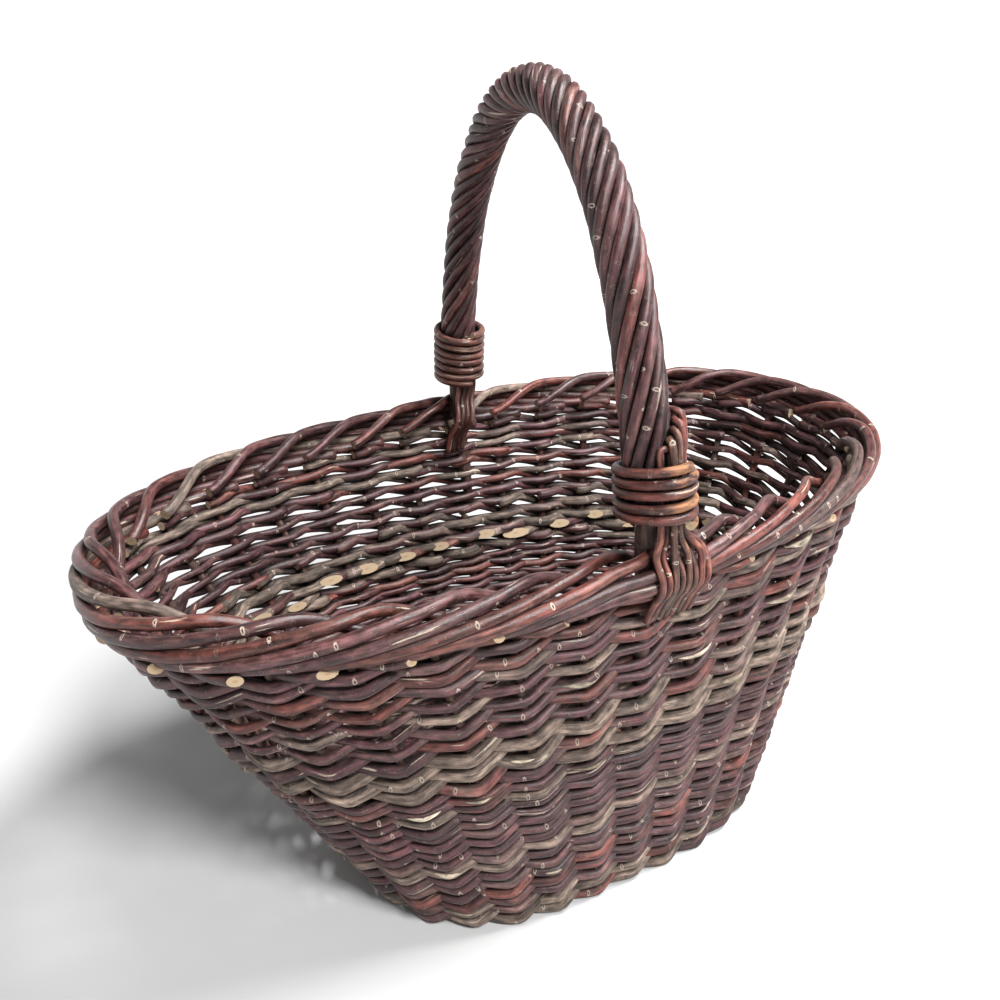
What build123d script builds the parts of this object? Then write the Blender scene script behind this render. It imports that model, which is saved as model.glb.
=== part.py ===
from build123d import *
import math
import os

# Oval willow market basket with one fixed roped handle. Millimetres, +Z up, +X along the length.
# The origin lies on the floor under the middle of the whole basket.

# Place of the middle of the mouth. The foot rods outside the near border set it back a little.
MOUTH_X = 0.1
MOUTH_Y = 2.9

# Outline of the mouth, at the middle of the border roll
RIM_HALF_LENGTH = 230.0
RIM_HALF_WIDTH = 128.5
RIM_SQUARENESS = 2.4
RIM_HEIGHT = 218.0
RIM_RISE = 6.5

# Outline of the base, at the middle of the wall. The mouth hangs over it more at the left end.
BASE_HALF_LENGTH = 126.0
BASE_HALF_WIDTH = 98.5
BASE_SQUARENESS = 3.0
BASE_SHIFT_X = 15.0
BASE_SHIFT_Y = -8.0

# Woven wall and its bands of different weave, as heights at the middle of the length. The weavers
# swell the wall at each stake and draw in between.
WALL_THICKNESS = 13.0
WALL_VALLEY_THICKNESS = 5.0
WALL_FACETS_PER_STAKE = 2
BOTTOM_WALE_TOP = 20.0
LOWER_SIDING_TOP = 115.0
MIDDLE_WALE_TOP = 146.0
UPPER_SIDING_TOP = 182.0

# Gaps between the spaced rods of the upper siding, in each space between two stakes
GAP_ROWS = 2
GAP_WIDTH = 14.0
GAP_HEIGHT = 5.0

# Side stakes
STAKE_COUNT = 33
STAKE_PHASE = 0.68
STAKE_DIAMETER = 5.4
STAKE_TIP_DIAMETER = 4.8
STAKE_SIDES = 6
STAKE_FOOT_HEIGHT = 3.0
STAKE_CLEARANCE = 0.35

# Rolled border: each rod starts below the outside, climbs over the roll and ends inside
BORDER_ROD_DIAMETER = 7.3
BORDER_TIP_DIAMETER = 6.2
BORDER_ROLL_RADIUS = 8.5
BORDER_SIDES = 5
BORDER_STEPS_PER_PITCH = 2.5
BORDER_WRAP = ((-0.5, -95.0), (0.0, -35.0), (1.0, 20.0), (2.0, 140.0), (3.0, 205.0), (3.3, 222.0))
SEAT_GAP = 0.3

# Stakes and border rods by side, as the first and last number of each run
SIDES = (("right_end", -4, 4), ("far_side", 4, 13), ("left_end", 13, 20), ("near_side", 20, 29))

# Floor of the basket
FLOOR_HEIGHT = 4.5
FLOOR_THICKNESS = 12.6
CROSS_STICK_COUNT = 7
CROSS_STICK_DIAMETER = 10.0
LONG_STICK_COUNT = 3
LONG_STICK_DIAMETER = 5.0
LONG_STICK_SPACING = 13.0
CROSS_STICK_SPACING = 27.0
STICK_CLEARANCE = 0.3
STICK_SIDES = 6

# Handle bow, driven down into the wall in the place of a stake on each long side
NEAR_BOW_STAKE = 24
FAR_BOW_STAKE = 7
HANDLE_ABOVE_RIM = 211.5
BOW_DIAMETER = 12.0
BOW_SIDES = 8
BOW_STEPS = 26
BOW_DEPTH = 62.0
BOW_SLYPE_LENGTH = 34.0
BOW_TIP_DIAMETER = 4.5
BOW_ARCH_MARGIN = 0.012
BOW_SPREAD = 5.3
BOW_SPREAD_PITCHES = 0.75
BOW_WALL_DIAMETER = 9.4

# Roping rods laid round the bow
ROPING_COUNT = 9
ROPING_DIAMETER = 4.5
ROPING_TIP_DIAMETER = 4.1
ROPING_SEAT = 0.8
ROPING_LEAN_RUN = 0.4
ROPING_SIDES = 4
ROPING_STEPS = 42
ROPING_START_LEAN = 16.0
ROPING_TOP_LEAN = 31.0
ROPING_FOOT_HEIGHT = 25.0

# Bindings round the two feet of the handle, as ovals that also take in the foot rods
BINDING_DIAMETER = 4.4
BINDING_PITCH = 5.3
BINDING_SIDES = 5
BINDING_START = 26.0
BINDING_ROOM = 0.75
NEAR_BINDING_TURNS = 5
NEAR_BINDING_REACH = 22.2
NEAR_BINDING_SIDE = 14.7
FAR_BINDING_TURNS = 7
FAR_BINDING_REACH = 18.4
FAR_BINDING_SIDE = 14.9

# Foot rods: they run down inside the bindings and fan out over the border. Angles are from the
# middle of each bundle. The outer rods of the near foot bend over the binding and pass behind.
NEAR_BUNDLE_ANGLE = -62.0
FAR_BUNDLE_ANGLE = 80.0
FOOT_ROD_DIAMETER = 3.2
FOOT_ROD_SIDES = 5
FOOT_ROD_GAP = 0.35
FOOT_ROD_PITCH = 3.7
NEAR_INNER_ANGLES = (-16.5, 0.0, 16.5)
NEAR_OUTER_ANGLES = (-32.5, -14.0, 0.0, 14.0, 32.5)
FAR_ROD_ANGLES = (-25.0, -8.3, 8.3, 25.0)
FOOT_ROD_DROP = 4.0
FAN_SHOULDER = 13.6
FAN_OUTER_SHOULDER = 17.0
FAN_SHOULDER_HEIGHT = 12.0
FAN_REACH = 18.85
FAN_TUCK_DEPTH = 12.0
NEAR_FAN_START = -5.0
FAR_FAN_START = -7.0
FAR_FAN_LEAN = -8.0
HOOK_START = 60.0
HOOK_PITCH = 3.7
HOOK_STEP_ANGLE = 22.0
HOOK_BACK_ANGLE = 38.0
HOOK_BEND = ((1.0, 0.0, 1.0), (0.27, 1.0, 0.75), (0.05, 3.0, 0.2), (0.0, 12.0, 0.0))


def oval_point(half_length, half_width, squareness, angle):
    """Point of a squared oval at a parameter angle."""
    c = math.cos(angle)
    s = math.sin(angle)
    x = half_length * math.copysign(abs(c) ** (2 / squareness), c)
    y = half_width * math.copysign(abs(s) ** (2 / squareness), s)
    return x, y


def even_outline(half_length, half_width, squareness, samples=3600):
    """Table of points round an oval with the share of the way round at each."""
    points = [oval_point(half_length, half_width, squareness, 2 * math.pi * i / samples)
              for i in range(samples + 1)]
    shares = [0.0]
    for a, b in zip(points, points[1:]):
        shares.append(shares[-1] + math.dist(a, b))
    return points, [s / shares[-1] for s in shares]


RIM_TABLE = even_outline(RIM_HALF_LENGTH, RIM_HALF_WIDTH, RIM_SQUARENESS)
BASE_TABLE = even_outline(BASE_HALF_LENGTH, BASE_HALF_WIDTH, BASE_SQUARENESS)


def along(table, share):
    """Point and outward normal at a share of the way round an oval."""
    points, shares = table
    share %= 1.0
    low, high = 0, len(shares) - 1
    while high - low > 1:
        middle = (low + high) // 2
        if shares[middle] <= share:
            low = middle
        else:
            high = middle
    a, b = points[low], points[high]
    t = (share - shares[low]) / (shares[high] - shares[low])
    length = math.dist(a, b)
    normal = Vector((b[1] - a[1]) / length, -(b[0] - a[0]) / length, 0)
    return Vector(a[0] + (b[0] - a[0]) * t, a[1] + (b[1] - a[1]) * t, 0), normal


ROLL_OUTSIDE = BORDER_ROLL_RADIUS + BORDER_ROD_DIAMETER / 2
WALL_TOP = RIM_HEIGHT - ROLL_OUTSIDE - SEAT_GAP
BASE_X = MOUTH_X + BASE_SHIFT_X
BASE_Y = MOUTH_Y + BASE_SHIFT_Y


def rise_at(x):
    """How much higher the mouth stands at a place along its length."""
    return RIM_RISE * x / RIM_HALF_LENGTH


def rim_point(share, outward=0.0, up=0.0):
    """Point beside the middle line of the border roll."""
    point, normal = along(RIM_TABLE, share)
    place = point + normal * outward
    return place + Vector(MOUTH_X, MOUTH_Y, RIM_HEIGHT + rise_at(point.X) + up)


def wall_point(share, level, outward=0.0):
    """Point of the wall at a level from 0 at the floor to 1 at its top edge."""
    low, low_normal = along(BASE_TABLE, share)
    high, high_normal = along(RIM_TABLE, share)
    low = low + low_normal * outward + Vector(BASE_X, BASE_Y, 0)
    high = high + high_normal * outward
    high = high + Vector(MOUTH_X, MOUTH_Y, WALL_TOP + rise_at(high.X))
    return low + (high - low) * level


def stake_share(index):
    """Share of the way round the basket at which a stake stands."""
    return (index + STAKE_PHASE) / STAKE_COUNT


def ring_wire(level, side, clearance):
    """Outline beside one face of the wall at its foot or its top, drawn in between the stakes."""
    points = []
    for i in range(STAKE_COUNT * WALL_FACETS_PER_STAKE):
        thickness = WALL_VALLEY_THICKNESS if i % WALL_FACETS_PER_STAKE else WALL_THICKNESS
        outward = side * (thickness / 2 + clearance)
        points.append(wall_point(stake_share(i / WALL_FACETS_PER_STAKE), level, outward))
    return Wire.make_polygon(points, close=True)


def wall_face_solid(side, clearance=0.0):
    """Solid inside the outer face of the wall, or inside its inner face when the side is -1."""
    return Solid.make_loft([ring_wire(level, side, clearance) for level in (0.0, 1.0)], ruled=True)


def band_slab(low, high):
    """Block between two heights that lean with the mouth."""
    reach = 2 * RIM_HALF_LENGTH
    corners = []
    for height, side in ((low, -1), (low, 1), (high, 1), (high, -1)):
        tilt = rise_at(side * reach) * height / WALL_TOP
        corners.append((side * reach, height + tilt))
    with BuildPart() as block:
        with BuildSketch(Plane.XZ):
            with BuildLine():
                Polyline(*corners, close=True)
            make_face()
        extrude(amount=2 * RIM_HALF_WIDTH, both=True)
    return block.part


def rod(path, diameters, sides, start_normal=None):
    """Tapered willow rod along a path, as a ruled loft of regular sections."""
    count = len(path)
    tangents = []
    for i in range(count):
        a = path[max(i - 1, 0)]
        b = path[min(i + 1, count - 1)]
        tangents.append((b - a).normalized())
    normal = start_normal or Vector(0, 0, 1).cross(tangents[0])
    if normal.length < 0.01:
        normal = Vector(1, 0, 0)
    sections = []
    for i, (point, tangent) in enumerate(zip(path, tangents)):
        normal = (normal - tangent * normal.dot(tangent)).normalized()
        side = tangent.cross(normal)
        radius = diameters[i] / 2
        corners = []
        for k in range(sides):
            turn = 2 * math.pi * (k + 0.5) / sides
            corners.append(point + normal * (radius * math.cos(turn)) + side * (radius * math.sin(turn)))
        sections.append(Wire.make_polygon(corners, close=True))
    return Solid.make_loft(sections, ruled=True)


def tapered(start, end, count):
    """Evenly changing diameters for the sections of a rod."""
    return [start + (end - start) * i / (count - 1) for i in range(count)]


def save(name, solids):
    """Write one sub-part as a group of separate solids."""
    solids = list(solids)
    shape = solids[0] if len(solids) == 1 else Compound(children=solids)
    shape.label = name
    export_step(shape, f"parts/{name}.step")


def stake_path(index, top_level=1.0, extend=True):
    """Middle line of a stake, from its foot in the base up into the border roll."""
    share = stake_share(index)
    foot = STAKE_FOOT_HEIGHT / WALL_TOP
    path = [wall_point(share, foot), wall_point(share, top_level)]
    if extend:
        path.append(rim_point(share))
    return path


def stake(index, grow=0.0):
    """One side stake, or its channel when grown by a clearance."""
    bow_stake = index in (NEAR_BOW_STAKE, FAR_BOW_STAKE)
    level = BOW_STAKE_LEVEL if bow_stake else 1.0
    path = stake_path(index, level, extend=not bow_stake)
    tip = STAKE_DIAMETER + (STAKE_TIP_DIAMETER - STAKE_DIAMETER) * level
    diameters = [STAKE_DIAMETER + grow, tip + grow] + [STAKE_TIP_DIAMETER + grow] * (len(path) - 2)
    return rod(path, diameters, STAKE_SIDES)


def stake_channel(index):
    """Square hole that a stake runs in, open at the top of the wall."""
    share = stake_share(index)
    foot = (STAKE_FOOT_HEIGHT - STAKE_CLEARANCE) / WALL_TOP
    path = [wall_point(share, foot), wall_point(share, 1.1)]
    width = (STAKE_DIAMETER + 2 * STAKE_CLEARANCE) * math.sqrt(2)
    return rod(path, [width, width], 4)


BOW_STAKE_LEVEL = (WALL_TOP - BOW_DEPTH - 2 * SEAT_GAP) / WALL_TOP


def foot_frame(stake_index):
    """Where a foot of the handle leaves the border."""
    return rim_point(stake_share(stake_index))


NEAR_FOOT = foot_frame(NEAR_BOW_STAKE)
FAR_FOOT = foot_frame(FAR_BOW_STAKE)
HANDLE_MIDDLE = (NEAR_FOOT + FAR_FOOT) * 0.5
HANDLE_SPAN = (FAR_FOOT - NEAR_FOOT).length
HANDLE_DIRECTION = (FAR_FOOT - NEAR_FOOT).normalized()
HANDLE_RISE = RIM_HEIGHT + HANDLE_ABOVE_RIM - HANDLE_MIDDLE.Z


def arch_point(angle):
    """Point of the handle's arch, from 0 at the near foot to pi at the far foot."""
    across = HANDLE_DIRECTION * (-HANDLE_SPAN / 2 * math.cos(angle))
    return HANDLE_MIDDLE + across + Vector(0, 0, HANDLE_RISE * math.sin(angle))


def arch_table(samples=1440):
    """Points of the arch with the length run to each."""
    points = [arch_point(math.pi * i / samples) for i in range(samples + 1)]
    lengths = [0.0]
    for a, b in zip(points, points[1:]):
        lengths.append(lengths[-1] + (b - a).length)
    return points, lengths


ARCH_POINTS, ARCH_LENGTHS = arch_table()
ARCH_LENGTH = ARCH_LENGTHS[-1]


def arch_at(length):
    """Point of the arch at a length along it, with its tangent and two square directions."""
    low = 0
    high = len(ARCH_LENGTHS) - 1
    while high - low > 1:
        middle = (low + high) // 2
        if ARCH_LENGTHS[middle] <= length:
            low = middle
        else:
            high = middle
    a, b = ARCH_POINTS[low], ARCH_POINTS[high]
    t = (length - ARCH_LENGTHS[low]) / (ARCH_LENGTHS[high] - ARCH_LENGTHS[low])
    tangent = (b - a).normalized()
    sideways = HANDLE_DIRECTION.cross(Vector(0, 0, 1)).normalized()
    return a + (b - a) * t, tangent, sideways, tangent.cross(sideways)


def round_arch(length, degrees, radius):
    """Point beside the arch, at an angle and a distance from its middle line."""
    centre, _, sideways, other = arch_at(length)
    turn = math.radians(degrees)
    return centre + sideways * (radius * math.cos(turn)) + other * (radius * math.sin(turn))


def bow_path():
    """Middle line of the bow: down both walls in the place of a stake, and over the arch."""
    low = (WALL_TOP - BOW_DEPTH) / WALL_TOP
    slant = (WALL_TOP - BOW_DEPTH + BOW_SLYPE_LENGTH) / WALL_TOP
    near = [wall_point(stake_share(NEAR_BOW_STAKE), t) for t in (low, slant, 1.0)]
    far = [wall_point(stake_share(FAR_BOW_STAKE), t) for t in (1.0, slant, low)]
    arch = [arch_at(ARCH_LENGTH * (BOW_ARCH_MARGIN + (1 - 2 * BOW_ARCH_MARGIN) * i / (BOW_STEPS - 1)))[0]
            for i in range(BOW_STEPS)]
    return near + arch + far


def handle_bow():
    """The stick that carries the handle, cut to a long slant at both ends."""
    path = bow_path()
    foot = [BOW_TIP_DIAMETER, BOW_WALL_DIAMETER, BOW_WALL_DIAMETER]
    diameters = foot + [BOW_DIAMETER] * BOW_STEPS + foot[::-1]
    return rod(path, diameters, BOW_SIDES, Vector(1, 0, 0))


def bow_channel(stake_index):
    """Hole for a foot of the bow in the upper part of the wall."""
    share = stake_share(stake_index)
    low = (WALL_TOP - BOW_DEPTH - SEAT_GAP) / WALL_TOP
    path = [wall_point(share, low), wall_point(share, 1.1)]
    width = BOW_WALL_DIAMETER + 2 * SEAT_GAP
    return rod(path, [width, width], BOW_SIDES, Vector(1, 0, 0))


def siding_gaps():
    """Gaps through the upper siding, in rows between the stakes."""
    band = UPPER_SIDING_TOP - MIDDLE_WALE_TOP
    gaps = []
    for row in range(GAP_ROWS):
        level = (MIDDLE_WALE_TOP + band * (row + 1) / (GAP_ROWS + 1)) / WALL_TOP
        for i in range(STAKE_COUNT):
            share = stake_share(i + 0.5)
            middle = wall_point(share, level)
            run = wall_point(stake_share(i + 0.6), level) - wall_point(stake_share(i + 0.4), level)
            outward = wall_point(share, level, 1.0) - middle
            place = Plane(middle, x_dir=run, z_dir=outward)
            gaps.append(place * Box(GAP_WIDTH, GAP_HEIGHT, 2 * WALL_THICKNESS))
    return gaps


def wall_bands():
    """The woven wall, cut into its bands, with a hole for each stake and each foot of the bow."""
    outer = wall_face_solid(1)
    inner = wall_face_solid(-1)
    holes = [stake_channel(i) for i in range(STAKE_COUNT)]
    holes += [bow_channel(NEAR_BOW_STAKE), bow_channel(FAR_BOW_STAKE)]
    edges = (-1.0, BOTTOM_WALE_TOP, LOWER_SIDING_TOP, MIDDLE_WALE_TOP, UPPER_SIDING_TOP, WALL_TOP + 20)
    names = ("bottom_wale", "lower_siding", "middle_wale", "upper_siding", "top_wale")
    bands = {}
    for name, low, high in zip(names, edges, edges[1:]):
        slab = band_slab(low, high)
        bands[name] = (outer & slab) - (inner & slab) - holes
    bands["upper_siding"] -= siding_gaps()
    return bands


def wrap_angle(pitches):
    """How far round the roll a border rod has come, in degrees from straight out."""
    for (a, start), (b, end) in zip(BORDER_WRAP, BORDER_WRAP[1:]):
        if pitches <= b:
            return start + (end - start) * (pitches - a) / (b - a)
    return BORDER_WRAP[-1][1]


def roll_spread(place):
    """How far the roll opens sideways where a foot of the bow comes up through it."""
    nearest = min(abs(place - stake) for stake in (NEAR_BOW_STAKE, FAR_BOW_STAKE))
    if nearest >= BOW_SPREAD_PITCHES:
        return 0.0
    return BOW_SPREAD * math.cos(math.pi / 2 * nearest / BOW_SPREAD_PITCHES) ** 2


def border_rod(index):
    """One rod of the rolled border."""
    first, last = BORDER_WRAP[0][0], BORDER_WRAP[-1][0]
    steps = round((last - first) * BORDER_STEPS_PER_PITCH)
    path = []
    for k in range(steps + 1):
        pitches = first + (last - first) * k / steps
        turn = math.radians(wrap_angle(pitches))
        place = (index + pitches) % STAKE_COUNT
        spread = roll_spread(place) * max(-1.0, min(1.0, 2 * math.cos(turn)))
        outward = BORDER_ROLL_RADIUS * math.cos(turn) + spread
        path.append(rim_point(stake_share(place), outward, BORDER_ROLL_RADIUS * math.sin(turn)))
    return rod(path, tapered(BORDER_ROD_DIAMETER, BORDER_TIP_DIAMETER, steps + 1), BORDER_SIDES)


def floor_level(solid):
    """Part of a solid that lies between the two faces of the floor."""
    return solid & Pos(0, 0, FLOOR_HEIGHT + FLOOR_THICKNESS / 2) * Box(600, 400, FLOOR_THICKNESS)


def stick(length, diameter, x, y, along_x):
    """Straight stick lying in the middle of the floor's thickness."""
    turn = Rot(0, 90, 0) if along_x else Rot(90, 0, 0)
    bar = extrude(RegularPolygon(diameter / 2, STICK_SIDES), amount=length / 2, both=True)
    return Pos(x, y, FLOOR_HEIGHT + FLOOR_THICKNESS / 2) * turn * bar


def floor_pieces():
    """Floor weave with its long and cross sticks, the long ones through slits in the cross ones."""
    outline = wall_face_solid(-1, SEAT_GAP)
    across = 2 * BASE_HALF_WIDTH
    length = 2 * BASE_HALF_LENGTH
    cross_places = [BASE_X + CROSS_STICK_SPACING * (k - (CROSS_STICK_COUNT - 1) / 2)
                    for k in range(CROSS_STICK_COUNT)]
    long_places = [BASE_Y + LONG_STICK_SPACING * (k - (LONG_STICK_COUNT - 1) / 2)
                   for k in range(LONG_STICK_COUNT)]
    grown = 2 * STICK_CLEARANCE
    slit_width = LONG_STICK_SPACING * (LONG_STICK_COUNT - 1) + LONG_STICK_DIAMETER + grown
    slit = Pos(BASE_X, BASE_Y, FLOOR_HEIGHT + FLOOR_THICKNESS / 2)
    slit *= Box(length, slit_width, LONG_STICK_DIAMETER + grown)
    cross = [(stick(across, CROSS_STICK_DIAMETER, x, BASE_Y, False) & outline) - slit
             for x in cross_places]
    long = [stick(length, LONG_STICK_DIAMETER, BASE_X, y, True) & outline for y in long_places]
    holes = [stick(across, CROSS_STICK_DIAMETER + grown, x, BASE_Y, False) for x in cross_places]
    holes += [stick(length, LONG_STICK_DIAMETER + grown, BASE_X, y, True) for y in long_places]
    weave = floor_level(outline) - holes
    return weave, cross, long


def roping_rods():
    """Rods laid side by side round the bow, leaning more towards the top."""
    radius = BOW_DIAMETER / 2 + ROPING_DIAMETER / 2 + ROPING_SEAT
    start = ROPING_FOOT_HEIGHT
    run = ARCH_LENGTH - 2 * start
    turn = 0.0
    places = []
    for k in range(ROPING_STEPS + 1):
        length = start + run * k / ROPING_STEPS
        places.append((length, turn))
        share = min(1.0, (length - start) / (ROPING_LEAN_RUN * run))
        lean = ROPING_START_LEAN + (ROPING_TOP_LEAN - ROPING_START_LEAN) * share
        turn += math.degrees(run / ROPING_STEPS * math.tan(math.radians(lean)) / radius)
    rods = []
    for i in range(ROPING_COUNT):
        path = [round_arch(length, turn + 360 * i / ROPING_COUNT, radius) for length, turn in places]
        normal = path[0] - arch_at(start)[0]
        rods.append(rod(path, tapered(ROPING_DIAMETER, ROPING_TIP_DIAMETER, len(path)), ROPING_SIDES, normal))
    return rods


def biarc(start, start_tangent, end, end_tangent):
    """Two arcs from one point to another that keep both given directions."""
    run = end - start
    both = start_tangent + end_tangent
    a = 2 * (start_tangent.dot(end_tangent) - 1)
    b = -2 * run.dot(both)
    c = run.dot(run)
    reach = (-b - math.sqrt(b * b - 4 * a * c)) / (2 * a)
    joint = (start + start_tangent * reach + end - end_tangent * reach) * 0.5
    first = Edge.make_tangent_arc(start, start_tangent, joint)
    return [first, Edge.make_tangent_arc(joint, first % 1, end)]


ROPE_OUTSIDE = BOW_DIAMETER / 2 + ROPING_SEAT + ROPING_DIAMETER
INNER_ROD_RADIUS = ROPE_OUTSIDE + FOOT_ROD_GAP + FOOT_ROD_DIAMETER / 2
OUTER_ROD_RADIUS = INNER_ROD_RADIUS + FOOT_ROD_DIAMETER + FOOT_ROD_GAP
END_ROD_RADIUS = INNER_ROD_RADIUS + 0.5
RIM_AROUND = sum(math.dist(a, b) for a, b in zip(RIM_TABLE[0], RIM_TABLE[0][1:]))


def foot_place(near, height, degrees, radius):
    """Point beside a foot of the handle, at a height above the border."""
    if near:
        return round_arch(height, NEAR_BUNDLE_ANGLE + degrees, radius)
    return round_arch(ARCH_LENGTH - height, FAR_BUNDLE_ANGLE + degrees, radius)


def binding_place(near, turns):
    """Point of a binding after some turns round its foot of the handle."""
    reach = NEAR_BINDING_REACH if near else FAR_BINDING_REACH
    short = NEAR_BINDING_SIDE if near else FAR_BINDING_SIDE
    back = ROPE_OUTSIDE + BINDING_DIAMETER / 2 + BINDING_ROOM
    angle = 2 * math.pi * turns
    x = (reach - back) / 2 + (reach + back) / 2 * math.cos(angle)
    y = short * math.sin(angle)
    degrees = math.degrees(math.atan2(y, x))
    return foot_place(near, BINDING_START + BINDING_PITCH * turns, degrees, math.hypot(x, y))


def binding(near, turns):
    """One unbroken rod wound round a foot of the handle."""
    small = 1e-4
    points = []
    tangents = []
    for i in range(4 * turns + 1):
        points.append(binding_place(near, i / 4))
        run = binding_place(near, i / 4 + small) - binding_place(near, i / 4 - small)
        tangents.append(run.normalized())
    edges = []
    for i in range(4 * turns):
        edges += biarc(points[i], tangents[i], points[i + 1], tangents[i + 1])
    path = Wire(edges)
    section = Plane(points[0], z_dir=tangents[0]) * RegularPolygon(BINDING_DIAMETER / 2, BINDING_SIDES)
    samples = [path.position_at(k / (24 * turns)) for k in range(24 * turns + 1)]
    least = min((a - b).length for i, a in enumerate(samples) for b in samples[i + 12:])
    print("least gap between the turns of a binding:", round(least - BINDING_DIAMETER, 2), "mm")
    return sweep(section, path)


def fan_point(near, along_rim, outward, up):
    """Point beside the border near a foot, outside at the near foot and inside at the far one."""
    if near:
        return rim_point(stake_share(NEAR_BOW_STAKE) + along_rim / RIM_AROUND, outward, up)
    return rim_point(stake_share(FAR_BOW_STAKE) - along_rim / RIM_AROUND, -outward, up)


def fan_path(near, along_rim, lean, shoulder):
    """Lower stretch of a foot rod, from below the binding over the border to the wall."""
    stake_place = stake_share(NEAR_BOW_STAKE) if near else stake_share(FAR_BOW_STAKE)
    side = 1 if near else -1
    tuck = along_rim + lean
    clear = WALL_THICKNESS / 2 + FOOT_ROD_GAP + FOOT_ROD_DIAMETER / 2
    end_level = (WALL_TOP - FAN_TUCK_DEPTH) / WALL_TOP
    return [
        fan_point(near, along_rim, shoulder, FAN_SHOULDER_HEIGHT),
        fan_point(near, along_rim + lean / 4, FAN_REACH, BORDER_ROD_DIAMETER / 2),
        fan_point(near, along_rim + lean / 2, FAN_REACH, -BORDER_ROD_DIAMETER / 2),
        fan_point(near, along_rim + lean * 3 / 4, FAN_SHOULDER, -FAN_SHOULDER_HEIGHT),
        wall_point(stake_place + side * tuck / RIM_AROUND, end_level, side * clear),
    ]


def foot_rod(path):
    """Foot rod along its whole path."""
    return rod(path, [FOOT_ROD_DIAMETER] * len(path), FOOT_ROD_SIDES, Vector(1, 0, 0))


def straight_upper(near, degrees, turns):
    """Upper stretch of a foot rod that ends just above its binding."""
    top = BINDING_START + BINDING_PITCH * turns + BINDING_DIAMETER / 2
    low = BINDING_START - FOOT_ROD_DROP
    middle = (top + low) / 2
    return [foot_place(near, height, degrees, INNER_ROD_RADIUS) for height in (top, middle, low)]


def hooked_upper(order, degrees, radius):
    """Upper stretch of a near foot rod that bends over the binding and passes behind the leg."""
    height = HOOK_START + HOOK_PITCH * order
    leg_radius = OUTER_ROD_RADIUS if order else radius
    first = degrees + HOOK_BEND[-1][1]
    last = HOOK_BACK_ANGLE - NEAR_BUNDLE_ANGLE
    steps = max(1, round((last - first) / HOOK_STEP_ANGLE))
    path = [foot_place(True, height, first + (last - first) * k / steps, INNER_ROD_RADIUS)
            for k in range(steps, 0, -1)]
    for drop, ahead, share in reversed(HOOK_BEND):
        out = INNER_ROD_RADIUS + (leg_radius - INNER_ROD_RADIUS) * share
        path.append(foot_place(True, height - HOOK_PITCH * drop, degrees + ahead, out))
    if order:
        path.append(foot_place(True, HOOK_START - HOOK_PITCH / 2, degrees, leg_radius))
    top = BINDING_START + BINDING_PITCH * NEAR_BINDING_TURNS
    low = BINDING_START - FOOT_ROD_DROP
    path += [foot_place(True, level, degrees, radius) for level in (top, (top + low) / 2, low)]
    return path


def near_foot_paths():
    """Middle lines of the straight and the hooked rods of the near foot, in order along the border."""
    straight = []
    hooked = []
    place = 0
    for order, degrees in enumerate(NEAR_OUTER_ANGLES):
        at_end = order in (0, len(NEAR_OUTER_ANGLES) - 1)
        if not at_end:
            along_rim = NEAR_FAN_START + FOOT_ROD_PITCH * place
            upper = straight_upper(True, NEAR_INNER_ANGLES[order - 1], NEAR_BINDING_TURNS)
            straight.append(upper + fan_path(True, along_rim, 0.0, FAN_SHOULDER))
            place += 1
        along_rim = NEAR_FAN_START + FOOT_ROD_PITCH * place
        radius = END_ROD_RADIUS if at_end else OUTER_ROD_RADIUS
        shoulder = FAN_SHOULDER if at_end else FAN_OUTER_SHOULDER
        hooked.append(hooked_upper(order, degrees, radius) + fan_path(True, along_rim, 0.0, shoulder))
        place += 1
    return straight, hooked


def far_foot_paths():
    """Middle lines of the straight rods of the far foot, which run down inside the basket."""
    paths = []
    for place, degrees in enumerate(reversed(FAR_ROD_ANGLES)):
        upper = straight_upper(False, degrees, FAR_BINDING_TURNS)
        along_rim = FAR_FAN_START + FOOT_ROD_PITCH * place
        paths.append(upper + fan_path(False, along_rim, FAR_FAN_LEAN, FAN_SHOULDER))
    return paths


def main():
    os.makedirs("parts", exist_ok=True)
    bands = wall_bands()
    for name, solid in bands.items():
        save(name, solid.solids())
    weave, cross, long = floor_pieces()
    save("floor_weave", weave.solids())
    save("floor_cross_sticks", cross)
    save("floor_long_sticks", long)
    stakes = [stake(i) for i in range(STAKE_COUNT)]
    rods = [border_rod(i) for i in range(STAKE_COUNT)]
    for side, first, last in SIDES:
        chosen = [i % STAKE_COUNT for i in range(first, last)]
        save(f"stakes_{side}", [stakes[i] for i in chosen])
        save(f"border_rods_{side}", [rods[i] for i in chosen])
    save("handle_bow", [handle_bow()])
    for i, solid in enumerate(roping_rods(), start=1):
        save(f"roping_rod_{i}", [solid])
    straight, hooked = near_foot_paths()
    save("near_foot_straight_rods", map(foot_rod, straight))
    save("near_foot_hooked_rods", map(foot_rod, hooked))
    save("far_foot_straight_rods", map(foot_rod, far_foot_paths()))
    save("near_foot_binding", [binding(True, NEAR_BINDING_TURNS)])
    save("far_foot_binding", [binding(False, FAR_BINDING_TURNS)])


if __name__ == "__main__":
    main()
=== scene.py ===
"""Looks of an oval wicker market basket: every rod of its weave, border and handle, with its bark."""

import logging
import math
from dataclasses import dataclass
from enum import Enum
from functools import lru_cache

import bpy
import numpy as np
from mathutils import Matrix, Vector


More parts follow.
